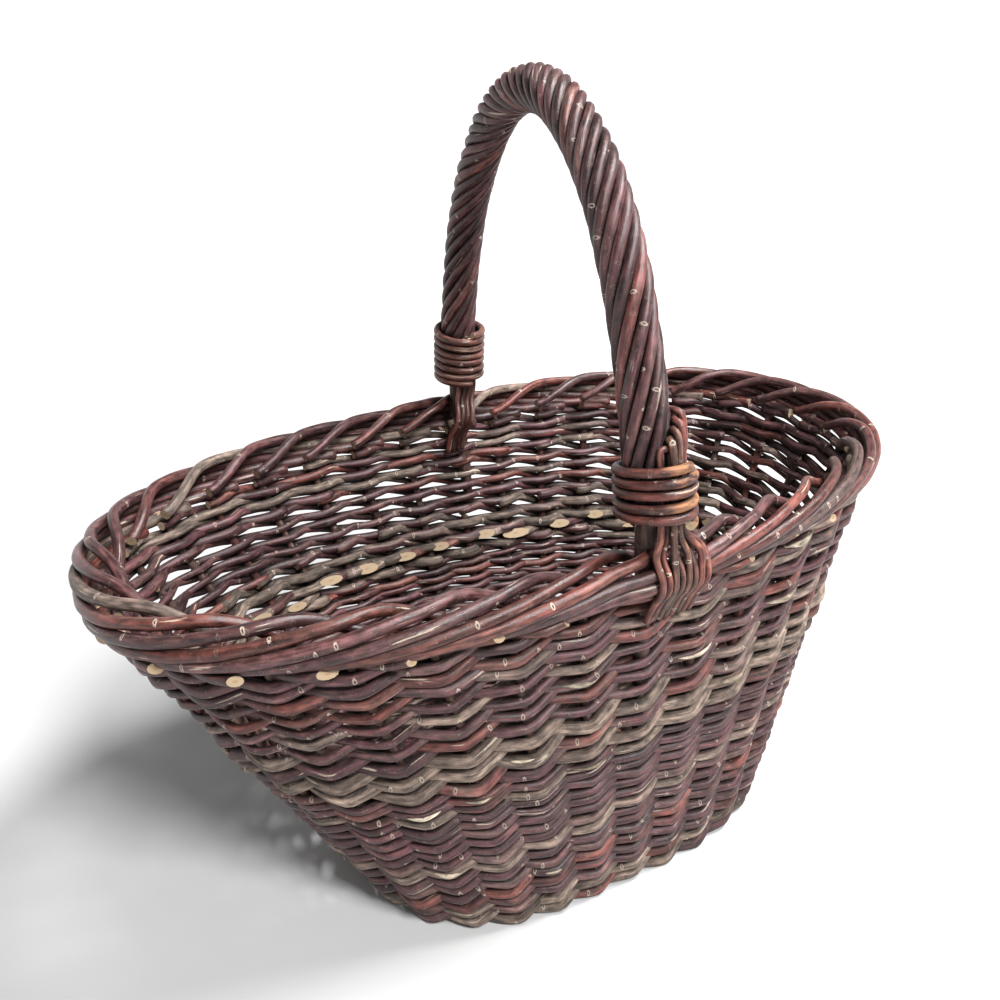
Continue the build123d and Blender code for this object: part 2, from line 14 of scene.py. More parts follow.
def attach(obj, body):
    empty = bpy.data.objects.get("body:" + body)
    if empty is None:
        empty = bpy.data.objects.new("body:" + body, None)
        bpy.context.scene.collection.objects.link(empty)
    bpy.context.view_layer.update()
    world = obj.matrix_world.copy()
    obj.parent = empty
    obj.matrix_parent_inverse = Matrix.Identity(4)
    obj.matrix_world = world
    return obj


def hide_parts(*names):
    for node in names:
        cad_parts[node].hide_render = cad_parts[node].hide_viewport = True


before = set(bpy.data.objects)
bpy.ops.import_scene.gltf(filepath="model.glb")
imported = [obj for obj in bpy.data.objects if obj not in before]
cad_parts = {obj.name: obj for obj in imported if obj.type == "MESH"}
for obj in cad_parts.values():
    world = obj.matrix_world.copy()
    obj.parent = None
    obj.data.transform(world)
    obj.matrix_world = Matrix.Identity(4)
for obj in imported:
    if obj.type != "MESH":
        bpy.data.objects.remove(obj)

LOG = logging.getLogger("basket")
MM = 0.001
SEED = 4715
SIDES = ("right_end", "far_side", "left_end", "near_side")
Array = np.ndarray
Colour = tuple[float, float, float]
Paint = tuple[float, float, float, float]
Weave = tuple[Colour, float]
Pair = tuple[float, float]
WHITE: Paint = (1.0, 1.0, 1.0, 1.0)


@dataclass(frozen=True)
class Oval:
    """Squared oval in a level plane, walked by the share of the way round. Millimetres."""

    STEPS = 7201
    NORMAL_STEP = 0.003

    half_length: float
    half_width: float
    squareness: float
    middle_x: float
    middle_y: float

    @lru_cache(maxsize=None)
    def table(self) -> tuple[Array, Array]:
        """Points round the oval and the share of the way round at each.

        Returns:
            The points, one row each, and their shares.
        """
        angle = np.linspace(0.0, 2.0 * math.pi, self.STEPS)
        c = np.cos(angle)
        s = np.sin(angle)
        power = 2.0 / self.squareness
        x = self.half_length * np.sign(c) * np.abs(c) ** power + self.middle_x
        y = self.half_width * np.sign(s) * np.abs(s) ** power + self.middle_y
        points = np.stack([x, y], axis=1)
        steps = np.linalg.norm(np.diff(points, axis=0), axis=1)
        shares = np.concatenate([[0.0], np.cumsum(steps)])
        return points, shares / shares[-1]

    def at(self, share: Array) -> Array:
        """Points at some shares of the way round.

        Args:
            share: Shares, which may run past 1.

        Returns:
            One row of x and y for each share.
        """
        points, shares = self.table()
        share = np.mod(share, 1.0)
        return np.stack([np.interp(share, shares, points[:, k]) for k in (0, 1)], axis=1)

    def normal(self, share: Array) -> Array:
        """Outward normals at some shares of the way round.

        Args:
            share: Shares, which may run past 1.

        Returns:
            One unit row of x and y for each share.
        """
        run = self.at(share + self.NORMAL_STEP) - self.at(share - self.NORMAL_STEP)
        run /= np.linalg.norm(run, axis=1)[:, None]
        return np.stack([run[:, 1], -run[:, 0]], axis=1)


@dataclass(frozen=True)
class BasketForm:
    """Sizes of the basket's body that all its rods follow. Millimetres."""

    mouth: Oval = Oval(230.0, 128.5, 2.4, 0.1, 2.9)
    base: Oval = Oval(132.0, 101.0, 3.0, 13.1, -6.1)
    rim_height: float = 218.0
    rim_rise: float = 6.5
    wall_top: float = 205.55
    stake_count: int = 33
    stake_phase: float = 0.68
    near_bow_stake: int = 24
    far_bow_stake: int = 7
    far_foot: float = 6.82

    def share(self, stake: Array) -> Array:
        """Share of the way round at a stake number or between two."""
        return (np.asarray(stake, float) + self.stake_phase) / self.stake_count

    def pitch(self) -> float:
        """Distance between two stakes round the mouth."""
        points, _ = self.mouth.table()
        return float(np.linalg.norm(np.diff(points, axis=0), axis=1).sum()) / self.stake_count

    def rise(self, x: Array) -> Array:
        """How much higher the mouth stands at a place along its length."""
        return self.rim_rise * x / self.mouth.half_length

    def wall(self, stake: Array, height: Array, outward: Array) -> Array:
        """Points beside the middle of the wall.

        Args:
            stake: Stake numbers, whole or between two.
            height: Heights where the mouth is level.
            outward: Distances outward from the middle of the wall.

        Returns:
            One row of x, y and z for each place.
        """
        share = self.share(stake)
        outward = np.broadcast_to(outward, share.shape)[:, None]
        level = (np.broadcast_to(height, share.shape) / self.wall_top)[:, None]
        low = self.base.at(share) + self.base.normal(share) * outward
        high = self.mouth.at(share) + self.mouth.normal(share) * outward
        flat = low + (high - low) * level
        z = level[:, 0] * (self.wall_top + self.rise(high[:, 0]))
        return np.column_stack([flat, z])

    def rim(self, stake: Array, outward: Array, up: Array) -> Array:
        """Points beside the middle line of the border roll.

        Args:
            stake: Stake numbers, whole or between two.
            outward: Distances outward from the middle line.
            up: Distances above the middle line.

        Returns:
            One row of x, y and z for each place.
        """
        share = self.share(stake)
        middle = self.mouth.at(share)
        outward = np.broadcast_to(outward, share.shape)[:, None]
        flat = middle + self.mouth.normal(share) * outward
        z = self.rim_height + self.rise(middle[:, 0]) + up
        return np.column_stack([flat, np.broadcast_to(z, share.shape)])


class Slot(Enum):
    """Material slots of the record."""

    GREY_BARK = "grey_bark"
    BROWN_BARK = "brown_bark"
    STAKE_BARK = "stake_bark"
    BORDER_BARK = "border_bark"
    ROPING_BARK = "roping_bark"
    FOOT_ROD_BARK = "foot_rod_bark"
    BINDING_BARK = "binding_bark"
    PEELED_STICK = "peeled_stick"


Socket = bpy.types.NodeSocket | float | tuple


class Nodes:
    """Writes one node tree, a node with its links at a time."""

    def __init__(self, tree: bpy.types.NodeTree) -> None:
        """Start on an empty tree."""
        self.tree = tree
        tree.nodes.clear()

    def feed(self, socket: bpy.types.NodeSocket, value: Socket) -> None:
        """Link a socket into another, or set its value."""
        if isinstance(value, bpy.types.NodeSocket):
            self.tree.links.new(value, socket)
        else:
            socket.default_value = value

    def node(self, kind: str, inputs: dict | None = None, **settings: object) -> bpy.types.Node:
        """Add one node.

        Args:
            kind: Blender's type name of the node.
            inputs: Values or links by the input's name or number.
            settings: Properties of the node.

        Returns:
            The new node.
        """
        made = self.tree.nodes.new(kind)
        for key, value in settings.items():
            setattr(made, key, value)
        for key, value in (inputs or {}).items():
            self.feed(made.inputs[key], value)
        return made

    def math(self, operation: str, a: Socket, b: Socket = 0.0) -> bpy.types.NodeSocket:
        """Add a Math node on one or two values."""
        return self.node("ShaderNodeMath", {0: a, 1: b}, operation=operation).outputs[0]

    def times(self, value: Socket, factor: Socket, start: float = 0.0) -> bpy.types.NodeSocket:
        """Multiply a value by a factor and add a start value."""
        made = self.node("ShaderNodeMath", {0: value, 1: factor, 2: start}, operation="MULTIPLY_ADD")
        return made.outputs[0]

    def rest(self, value: Socket) -> bpy.types.NodeSocket:
        """What a share leaves of 1."""
        return self.math("SUBTRACT", 1.0, value)

    def mix(self, factor: Socket, a: Socket, b: Socket, blend: str = "MIX") -> bpy.types.NodeSocket:
        """Mix two colours by a factor."""
        made = self.tree.nodes.new("ShaderNodeMix")
        made.data_type = "RGBA"
        made.blend_type = blend
        self.feed(made.inputs["Factor"], factor)
        self.feed(made.inputs[6], a)
        self.feed(made.inputs[7], b)
        return made.outputs[2]

    def noise(self, place: Socket, stretch: Colour, detail: float) -> bpy.types.NodeSocket:
        """Noise over places that are stretched first.

        Args:
            place: Vector of the place in metres.
            stretch: Waves in a metre along each axis.
            detail: Octaves of the noise.

        Returns:
            The noise's value, from 0 to 1.
        """
        scaled = self.node("ShaderNodeVectorMath", {0: place, 1: stretch}, operation="MULTIPLY")
        inputs = {"Vector": scaled.outputs[0], "Scale": 1.0, "Detail": detail}
        return self.node("ShaderNodeTexNoise", inputs).outputs[0]

    def span(self, value: Socket, low: float, high: float) -> bpy.types.NodeSocket:
        """Spread the values from low to high over 0 to 1, and cut the rest off."""
        made = self.node("ShaderNodeMapRange", {0: value, 1: low, 2: high, 3: 0.0, 4: 1.0}, clamp=True)
        return made.outputs[0]


@dataclass(frozen=True)
class BarkPattern:
    """Numbers of the bark's pattern.

    Each noise has its waves in a metre along the rod and across it, and its octaves. Levels are the
    noise's values where a mark starts and where it is full. A share or shade has its factor first and
    then its start value.
    """

    streak: Weave = ((45.0, 700.0, 700.0), 4.0)
    mottle: Weave = ((160.0, 420.0, 420.0), 5.0)
    grain: Weave = ((900.0, 2600.0, 2600.0), 3.0)
    patch: Weave = ((28.0, 160.0, 160.0), 2.0)
    split: Weave = ((30.0, 480.0, 480.0), 2.0)
    speck: Weave = ((1500.0, 1500.0, 1500.0), 1.0)
    tone_edge: float = 0.04
    patch_levels: Pair = (0.5, 0.64)
    patch_share: Pair = (0.8, 0.12)
    rod_shade: Pair = (0.75, 0.62)
    shade_levels: Pair = (0.3, 0.7)
    streak_shade: Pair = (1.2, 0.35)
    mottle_shade: Pair = (1.2, 0.3)
    wear_mottle: float = 0.7
    wear_levels: Pair = (0.78, 0.98)
    wear_strength: float = 0.8
    split_levels: Pair = (0.685, 0.71)
    split_grain: Pair = (0.3, 0.45)
    split_strength: float = 0.8
    split_colour: Paint = (0.40, 0.33, 0.26, 1.0)
    speck_levels: Pair = (0.7, 0.76)
    speck_strength: float = 0.5
    speck_colour: Paint = (0.34, 0.26, 0.21, 1.0)
    ring_colour: Paint = (0.52, 0.43, 0.35, 1.0)
    pit_colour: Paint = (0.03, 0.016, 0.012, 1.0)
    scar_spacing: float = 18.0 * MM
    scar_place: Pair = (0.7, 0.15)
    scar_length: float = 2.4
    scar_width: float = 0.45
    scar_raggedness: float = 1.6 * MM
    scar_gap_share: float = 0.4
    ring_radius: float = 1.0 * MM
    ring_edge: Pair = (0.22 * MM, 0.6 * MM)
    pit_edge: Pair = (0.3 * MM, 0.7 * MM)
    # Painted shade: ambient occlusion darkens the bark towards a near-black colour in the hollows between
    # rods, and raises the roughness there.
    hollow_reach: float = 9.0 * MM
    hollow_levels: Pair = (0.12, 0.78)
    hollow_samples: int = 4
    painted_shade_strength: float = 0.78
    painted_shade_colour: Paint = (0.004, 0.002, 0.002, 1.0)
    rough_mottle: Pair = (0.35, 0.5)
    rough_worn: float = 0.25
    rough_in_shade: float = 0.4
    streak_height: float = 0.5
    grain_height: float = 0.34
    mottle_height: float = 0.3
    pit_height: float = -0.8


class ShaderGroups:
    """Shader node groups that the finishes share."""

    BARK = "willow bark"
    CUT = "cut willow"
    CUT_BLOTCH: Weave = ((300.0, 1500.0, 1500.0), 4.0)
    BLOTCH_STRENGTH = 0.6
    PITH_STRENGTH = 0.7
    PITH_RAGGEDNESS = 0.9 * MM
    PITH_EDGE: Pair = (0.45 * MM, 0.9 * MM)

    @staticmethod
    def open(name: str, inputs: dict[str, tuple[str, object]], outputs: dict[str, str]) -> tuple:
        """Make a group with its sockets.

        Args:
            name: Name of the group.
            inputs: Kind and start value of each input by its name.
            outputs: Kind of each output by its name.

        Returns:
            The group, its writer, and its input and output nodes.
        """
        group = bpy.data.node_groups.new(name, "ShaderNodeTree")
        for label, (kind, value) in inputs.items():
            made = group.interface.new_socket(label, in_out="INPUT", socket_type=f"NodeSocket{kind}")
            made.default_value = value
        for label, kind in outputs.items():
            group.interface.new_socket(label, in_out="OUTPUT", socket_type=f"NodeSocket{kind}")
        nodes = Nodes(group)
        return group, nodes, nodes.node("NodeGroupInput"), nodes.node("NodeGroupOutput")

    @classmethod
    def bark(cls, pattern: BarkPattern) -> bpy.types.NodeTree:
        """Bark of a willow rod: streaks, mottling, worn places, splits, bud scars, and painted shade that
        darkens the hollows between rods.

        Args:
            pattern: Numbers of the pattern.

        Returns:
            The group.
        """
        labels = ("Red share", "Grey share", "Wear", "Scars", "Gloss")
        inputs = {label: ("Color", WHITE) for label in ("Purple", "Red", "Grey", "Worn")}
        inputs |= {label: ("Float", 0.0) for label in labels}
        outputs = {"Color": "Color", "Roughness": "Float", "Height": "Float"}
        group, n, start, end = cls.open(cls.BARK, inputs, outputs)
        asked = start.outputs
        place = n.node("ShaderNodeAttribute", attribute_name=RodBundle.PLACE).outputs["Vector"]
        tone = n.node("ShaderNodeAttribute", attribute_name=RodBundle.TONE).outputs["Vector"]
        parts = n.node("ShaderNodeSeparateXYZ", {0: place}).outputs
        tones = n.node("ShaderNodeSeparateXYZ", {0: tone}).outputs
        streak = n.noise(place, *pattern.streak)
        mottle = n.noise(place, *pattern.mottle)
        grain = n.noise(place, *pattern.grain)

        edge = pattern.tone_edge
        reds = n.span(n.math("SUBTRACT", asked["Red share"], tones[0]), -edge, edge)
        browns = n.math("SUBTRACT", n.rest(asked["Grey share"]), tones[0])
        greys = n.rest(n.span(browns, -edge, edge))
        patches = n.span(n.noise(place, *pattern.patch), *pattern.patch_levels)
        patches = n.math("MULTIPLY", patches, n.times(asked["Grey share"], *pattern.patch_share))
        colour = n.mix(reds, asked["Purple"], asked["Red"])
        colour = n.mix(n.math("MAXIMUM", greys, patches), colour, asked["Grey"])

        shade = n.times(tones[1], *pattern.rod_shade)
        for noise, weight in ((streak, pattern.streak_shade), (mottle, pattern.mottle_shade)):
            shade = n.math("MULTIPLY", shade, n.times(n.span(noise, *pattern.shade_levels), *weight))
        grey = n.node("ShaderNodeCombineColor", {0: shade, 1: shade, 2: shade}).outputs[0]
        colour = n.mix(1.0, colour, grey, "MULTIPLY")

        rubbed = n.math("MULTIPLY", tones[2], asked["Wear"])
        rubbed = n.math("ADD", rubbed, n.times(mottle, pattern.wear_mottle))
        rubbed = n.span(rubbed, *pattern.wear_levels)
        colour = n.mix(n.times(rubbed, pattern.wear_strength), colour, asked["Worn"])
        split = n.span(n.noise(place, *pattern.split), *pattern.split_levels)
        split = n.math("MULTIPLY", split, n.span(grain, *pattern.split_grain))
        colour = n.mix(n.times(split, pattern.split_strength), colour, pattern.split_colour)

        ring, pit = cls.scars(n, pattern, parts, tones, grain)
        ring = n.math("MULTIPLY", ring, asked["Scars"])
        pit = n.math("MULTIPLY", pit, asked["Scars"])
        speck = n.span(n.noise(place, *pattern.speck), *pattern.speck_levels)
        colour = n.mix(ring, colour, pattern.ring_colour)
        colour = n.mix(n.times(speck, pattern.speck_strength), colour, pattern.speck_colour)
        colour = n.mix(pit, colour, pattern.pit_colour)

        # Painted shade: ambient occlusion darkens the colour in the hollows between rods, where shade
        # falls, and raises the roughness there.
        reach = {"Distance": pattern.hollow_reach}
        hollow = n.node("ShaderNodeAmbientOcclusion", reach, samples=pattern.hollow_samples)
        unshaded = n.span(hollow.outputs["AO"], *pattern.hollow_levels)
        shaded_colour = n.mix(pattern.painted_shade_strength, colour, pattern.painted_shade_colour)
        rough = n.math("SUBTRACT", n.times(mottle, *pattern.rough_mottle), asked["Gloss"])
        rough = n.math("ADD", rough, n.times(n.math("MAXIMUM", greys, rubbed), pattern.rough_worn))
        rough = n.math("ADD", rough, n.times(n.rest(unshaded), pattern.rough_in_shade))
        height = n.math("ADD", n.times(streak, pattern.streak_height), n.times(grain, pattern.grain_height))
        height = n.math("ADD", height, n.times(mottle, pattern.mottle_height))
        height = n.math("ADD", height, n.math("ADD", ring, n.times(pit, pattern.pit_height)))
        n.feed(end.inputs["Color"], n.mix(unshaded, shaded_colour, colour))
        n.feed(end.inputs["Roughness"], n.span(rough, 0.0, 1.0))
        n.feed(end.inputs["Height"], height)
        return group

    @staticmethod
    def scars(n: Nodes, pattern: BarkPattern, parts: list, tones: list, torn: Socket) -> tuple:
        """Bud scars, one at a random side of the rod in each stretch of its length.

        Args:
            n: Writer of the group's tree.
            pattern: Numbers of the pattern.
            parts: Length along the rod and the two places across it.
            tones: Random numbers of the rod.
            torn: Noise that makes the scars ragged.

        Returns:
            Masks of the pale ring and of the dark pit inside it.
        """
        along = n.math("DIVIDE", parts[0], pattern.scar_spacing)
        seed = n.node("ShaderNodeCombineXYZ", {0: n.math("FLOOR", along), 1: tones[0], 2: tones[1]})
        inputs = {"Vector": seed.outputs[0]}
        random = n.node("ShaderNodeTexWhiteNoise", inputs, noise_dimensions="3D").outputs["Color"]
        dice = n.node("ShaderNodeSeparateColor", {0: random}).outputs
        middle = n.times(dice[0], *pattern.scar_place)
        run = n.times(n.math("SUBTRACT", n.math("FRACT", along), middle), pattern.scar_spacing)
        angle = n.math("ARCTAN2", parts[2], parts[1])
        turn = n.math("SUBTRACT", n.math("DIVIDE", angle, 2.0 * math.pi), dice[1])
        turn = n.math("SUBTRACT", n.math("FRACT", turn), 0.5)
        square = n.math("ADD", n.math("POWER", parts[1], 2.0), n.math("POWER", parts[2], 2.0))
        across = n.math("MULTIPLY", n.times(turn, 2.0 * math.pi), n.math("SQRT", square))
        long = n.times(n.math("POWER", run, 2.0), pattern.scar_length)
        wide = n.times(n.math("POWER", across, 2.0), pattern.scar_width)
        ragged = n.times(n.math("SUBTRACT", torn, 0.5), pattern.scar_raggedness)
        reach = n.math("ADD", n.math("SQRT", n.math("ADD", long, wide)), ragged)
        off = n.math("ABSOLUTE", n.math("SUBTRACT", reach, pattern.ring_radius))
        shown = n.math("GREATER_THAN", dice[2], pattern.scar_gap_share)
        ring = n.math("MULTIPLY", shown, n.rest(n.span(off, *pattern.ring_edge)))
        pit = n.math("MULTIPLY", shown, n.rest(n.span(reach, *pattern.pit_edge)))
        return ring, pit

    @classmethod
    def cut(cls) -> bpy.types.NodeTree:
        """Cut end of a rod: blotchy pale wood with a darker pith.

        Returns:
            The group.
        """
        inputs = {label: ("Color", WHITE) for label in ("Wood", "Pith", "Blotch")}
        group, n, start, end = cls.open(cls.CUT, inputs, {"Color": "Color", "Height": "Float"})
        asked = start.outputs
        place = n.node("ShaderNodeAttribute", attribute_name=RodBundle.PLACE).outputs["Vector"]
        across = n.node("ShaderNodeVectorMath", {0: place, 1: (0.0, 1.0, 1.0)}, operation="MULTIPLY")
        radius = n.node("ShaderNodeVectorMath", {0: across.outputs[0]}, operation="LENGTH").outputs["Value"]
        blotch = n.noise(place, *cls.CUT_BLOTCH)
        radius = n.math("ADD", radius, n.times(n.math("SUBTRACT", blotch, 0.5), cls.PITH_RAGGEDNESS))
        pith = n.rest(n.span(radius, *cls.PITH_EDGE))
        colour = n.mix(n.times(blotch, cls.BLOTCH_STRENGTH), asked["Wood"], asked["Blotch"])
        colour = n.mix(n.times(pith, cls.PITH_STRENGTH), colour, asked["Pith"])
        n.feed(end.inputs["Color"], colour)
        n.feed(end.inputs["Height"], blotch)
        return group


@dataclass(frozen=True)
class BarkFinish:
    """Bark of one kind of rod."""

    slot: Slot
    purple: Colour = (0.066, 0.025, 0.027)
    red: Colour = (0.108, 0.031, 0.024)
    grey: Colour = (0.145, 0.106, 0.084)
    worn: Colour = (0.27, 0.115, 0.055)
    red_share: float = 0.17
    grey_share: float = 0.07
    wear: float = 0.35
    scars: float = 0.75
    gloss: float = 0.22
    relief: float = 0.8
    depth: float = 0.5
    shine: float = 0.4

    def build(self) -> bpy.types.Material:
        """Make the material.

        Returns:
            The bark material.
        """
        material = bpy.data.materials.new(self.slot.value)
        material.use_nodes = True
        n = Nodes(material.node_tree)
        bark = n.node("ShaderNodeGroup")
        bark.node_tree = bpy.data.node_groups[ShaderGroups.BARK]
        colours = {"Purple": self.purple, "Red": self.red, "Grey": self.grey, "Worn": self.worn}
        for label, colour in colours.items():
            n.feed(bark.inputs[label], (*colour, 1.0))
        numbers = {
            "Red share": self.red_share, "Grey share": self.grey_share, "Wear": self.wear,
            "Scars": self.scars, "Gloss": self.gloss,
        }
        for label, number in numbers.items():
            n.feed(bark.inputs[label], number)
        height = bark.outputs["Height"]
        bump = n.node("ShaderNodeBump", {
            "Height": height, "Strength": self.relief, "Distance": self.depth * MM})
        shader = n.node("ShaderNodeBsdfPrincipled", {
            "Base Color": bark.outputs["Color"], "Roughness": bark.outputs["Roughness"],
            "Normal": bump.outputs[0], "Specular IOR Level": self.shine})
        n.node("ShaderNodeOutputMaterial", {0: shader.outputs[0]})
        return material


@dataclass(frozen=True)
class CutFinish:
    """Pale cut end of a rod, or a split that shows bare wood."""

    name: str = "cut_willow"
    wood: Colour = (0.34, 0.255, 0.165)
    pith: Colour = (0.25, 0.16, 0.08)
    blotch: Colour = (0.32, 0.22, 0.13)
    roughness: float = 0.8
    relief: float = 0.5
    depth: float = 0.4

    def build(self) -> bpy.types.Material:
        """Make the material.

        Returns:
            The wood material.
        """
        material = bpy.data.materials.new(self.name)
        material.use_nodes = True
        n = Nodes(material.node_tree)
        cut = n.node("ShaderNodeGroup")
        cut.node_tree = bpy.data.node_groups[ShaderGroups.CUT]
        for label, colour in {"Wood": self.wood, "Pith": self.pith, "Blotch": self.blotch}.items():
            n.feed(cut.inputs[label], (*colour, 1.0))
        height = cut.outputs["Height"]
        bump = n.node("ShaderNodeBump", {
            "Height": height, "Strength": self.relief, "Distance": self.depth * MM})
        shader = n.node("ShaderNodeBsdfPrincipled", {
            "Base Color": cut.outputs["Color"], "Roughness": self.roughness, "Normal": bump.outputs[0]})
        n.node("ShaderNodeOutputMaterial", {0: shader.outputs[0]})
        return material


class Finishes:
    """Builds every material once and hands it out by its slot."""

    def __init__(self) -> None:
        """Build the shared groups and the materials."""
        ShaderGroups.bark(BarkPattern())
        ShaderGroups.cut()
        barks = (
            BarkFinish(Slot.BROWN_BARK),
            BarkFinish(Slot.GREY_BARK, red_share=0.05, grey_share=0.6, gloss=0.12, relief=1.0),
            BarkFinish(Slot.STAKE_BARK, purple=(0.075, 0.037, 0.029), red_share=0.35, gloss=0.15),
            BarkFinish(Slot.BORDER_BARK, purple=(0.072, 0.029, 0.029), red_share=0.3, gloss=0.3, scars=0.9),
            BarkFinish(Slot.ROPING_BARK, purple=(0.060, 0.021, 0.022), gloss=0.24),
            BarkFinish(Slot.FOOT_ROD_BARK, purple=(0.100, 0.043, 0.032), worn=(0.36, 0.17, 0.07),
                       red_share=0.4, grey_share=0.03, wear=0.8),
            BarkFinish(Slot.BINDING_BARK, purple=(0.130, 0.050, 0.038), worn=(0.33, 0.15, 0.062),
                       red_share=0.45, wear=0.62, gloss=0.28),
            BarkFinish(Slot.PEELED_STICK, purple=(0.34, 0.275, 0.20), red=(0.30, 0.22, 0.145),
                       grey=(0.30, 0.255, 0.19), grey_share=0.3, gloss=0.1),
        )
        self.barks = {bark.slot: bark.build() for bark in barks}
        self.cut = CutFinish().build()


class RodBundle:
    """Collects rods and makes them one piece with round sides and flat cut ends."""

    PLACE = "rod_place"
    TONE = "rod_tone"
    FIRST_SIDE = (0.13, 0.41, 0.9)
    SWELLS = (9.0, 23.0, 4.1)
    PHASES: Pair = (0.0, 6.0)
    PATTERN_LENGTH = 9000.0
    LEAN_REACH = 1.6

    def __init__(self, name: str, slot: Slot, sides: int, seed: int) -> None:
        """Start an empty bundle.

        Args:
            name: Name of the piece.
            slot: Material slot of its bark.
            sides: Sides of each rod.
            seed: Start of its random numbers.
        """
        self.name = name
        self.slot = slot
        self.sides = sides
        self.random = np.random.default_rng(SEED + seed)
        self.points: list[Array] = []
        self.places: list[Array] = []
        self.tones: list[Array] = []
        self.faces: list[Array] = []
        self.caps: list[list[int]] = []
        self.count = 0

    @classmethod
    def frames(cls, path: Array) -> tuple[Array, Array, Array]:
        """Directions along and across a path that don't twist.

        Args:
            path: Points of the path.

        Returns:
            Tangents and two directions square to them.
        """
        tangent = np.gradient(path, axis=0)
        tangent /= np.linalg.norm(tangent, axis=1)[:, None]
        first = np.cross(tangent[0], cls.FIRST_SIDE)
        normals = [first / np.linalg.norm(first)]
        for t in tangent[1:]:
            turned = normals[-1] - t * normals[-1].dot(t)
            normals.append(turned / math.sqrt(turned.dot(turned)))
        normal = np.array(normals)
        return tangent, normal, np.cross(tangent, normal)

    def phase(self) -> float:
        """Random start of a wave."""
        return self.random.uniform(*self.PHASES)

    def add(self, path: Array, diameter: Array | float, wear: Array | float = 0.0, slant: float = 0.1,
            knobs: float = 0.06) -> None:
        """Add one rod.

        Args:
            path: Points of its middle line in millimetres.
            diameter: Its diameter, or one for each point.
            wear: How worn its bark is at each point, from 0 to 1.
            slant: How far its cut ends lean, as a share of their diameter.
            knobs: How much its thickness varies.
        """
        count = len(path)
        radius = np.broadcast_to(diameter, count) / 2.0
        steps = np.linalg.norm(np.diff(path, axis=0), axis=1)
        along = np.concatenate([[0.0], np.cumsum(steps)])
        waves = self.random.uniform(0.0, 2.0 * math.pi, len(self.SWELLS))
        swells = [np.sin(along / length + wave) for length, wave in zip(self.SWELLS, waves)]
        radius = radius * (1.0 + knobs * np.mean(swells, axis=0))
        tangent, normal, side = self.frames(path)
        turn = 2.0 * math.pi * np.arange(self.sides) / self.sides
        across = np.cos(turn)[None, :, None] * normal[:, None] + np.sin(turn)[None, :, None] * side[:, None]
        rings = path[:, None] + across * radius[:, None, None]
        lean = slant * 2.0 * radius[:, None] * np.cos(turn)[None]
        reach = self.LEAN_REACH * abs(slant) * 2.0 * radius
        share = np.clip(1.0 - np.minimum(along, along[-1] - along) / reach, 0.0, 1.0)
        rings += tangent[:, None] * (lean * share[:, None])[..., None]
        places = np.empty((count, self.sides, 3))
        places[..., 0] = along[:, None] + self.random.uniform(0.0, self.PATTERN_LENGTH)
        places[..., 1] = radius[:, None] * np.cos(turn)
        places[..., 2] = radius[:, None] * np.sin(turn)
        tones = np.empty((count, self.sides, 3))
        tones[..., :2] = self.random.uniform(0.0, 1.0, 2)
        tones[..., 2] = np.broadcast_to(wear, count)[:, None]
        ring = np.arange(self.sides)
        rows = self.count + np.arange(count - 1)[:, None] * self.sides
        a = rows + ring
        b = rows + np.roll(ring, -1)
        self.faces.append(np.stack([a, b, b + self.sides, a + self.sides], axis=2).reshape(-1, 4))
        end = self.count + count * self.sides
        self.caps.append([self.count + k for k in reversed(range(self.sides))])
        self.caps.append([end - self.sides + k for k in range(self.sides)])
        for store, values in ((self.points, rings), (self.places, places), (self.tones, tones)):
            store.append(values.reshape(-1, 3))
        self.count = end

    def piece(self, finishes: Finishes, replaced: tuple[str, ...] = ()) -> bpy.types.Object:
        """Make the piece and put it in the frame.

        Args:
            finishes: All materials.
            replaced: Nodes of the model that it stands for.

        Returns:
            The new object.
        """
        mesh = bpy.data.meshes.new(self.name)
        faces = np.concatenate(self.faces)
        mesh.from_pydata(np.concatenate(self.points) * MM, [], faces.tolist() + self.caps)
        flags = np.zeros(len(mesh.polygons), dtype=np.int32)
        flags[len(faces):] = 1
        mesh.polygons.foreach_set("material_index", flags)
        mesh.polygons.foreach_set("use_smooth", flags == 0)
        for label, values, scale in ((self.PLACE, self.places, MM), (self.TONE, self.tones, 1.0)):
            layer = mesh.attributes.new(label, "FLOAT_VECTOR", "POINT")
            layer.data.foreach_set("vector", (np.concatenate(values) * scale).ravel())
        mesh.materials.append(finishes.barks[self.slot])
        mesh.materials.append(finishes.cut)
        mesh.update()
        made = bpy.data.objects.new(self.name, mesh)
        bpy.context.collection.objects.link(made)
        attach(made, "root")
        if replaced:
            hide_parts(*replaced)
        LOG.info("%s: %d rods, %d faces", self.name, len(self.caps) // 2, len(mesh.polygons))
        return made


SPAN_STEPS = 8


def smooth_path(points: Array, step: float) -> Array:
    """Smooth curve through points, sampled at even steps.

    Args:
        points: Points that the curve passes.
        step: Distance between samples in millimetres.

    Returns:
        The samples.
    """
    points = np.asarray(points, float)
    padded = np.vstack([2 * points[0] - points[1], points, 2 * points[-1] - points[-2]])
    pieces = []
    for p0, p1, p2, p3 in zip(padded, padded[1:], padded[2:], padded[3:]):
        t = np.arange(SPAN_STEPS)[:, None] / SPAN_STEPS
        bend = 2 * p1 + (p2 - p0) * t + (2 * p0 - 5 * p1 + 4 * p2 - p3) * t ** 2
        pieces.append((bend + (3 * p1 - p0 - 3 * p2 + p3) * t ** 3) / 2)
    curve = np.vstack(pieces + [points[-1:]])
    lengths = np.concatenate([[0.0], np.cumsum(np.linalg.norm(np.diff(curve, axis=0), axis=1))])
    wanted = np.linspace(0.0, lengths[-1], max(3, round(lengths[-1] / step) + 1))
    return np.stack([np.interp(wanted, lengths, curve[:, k]) for k in range(3)], axis=1)


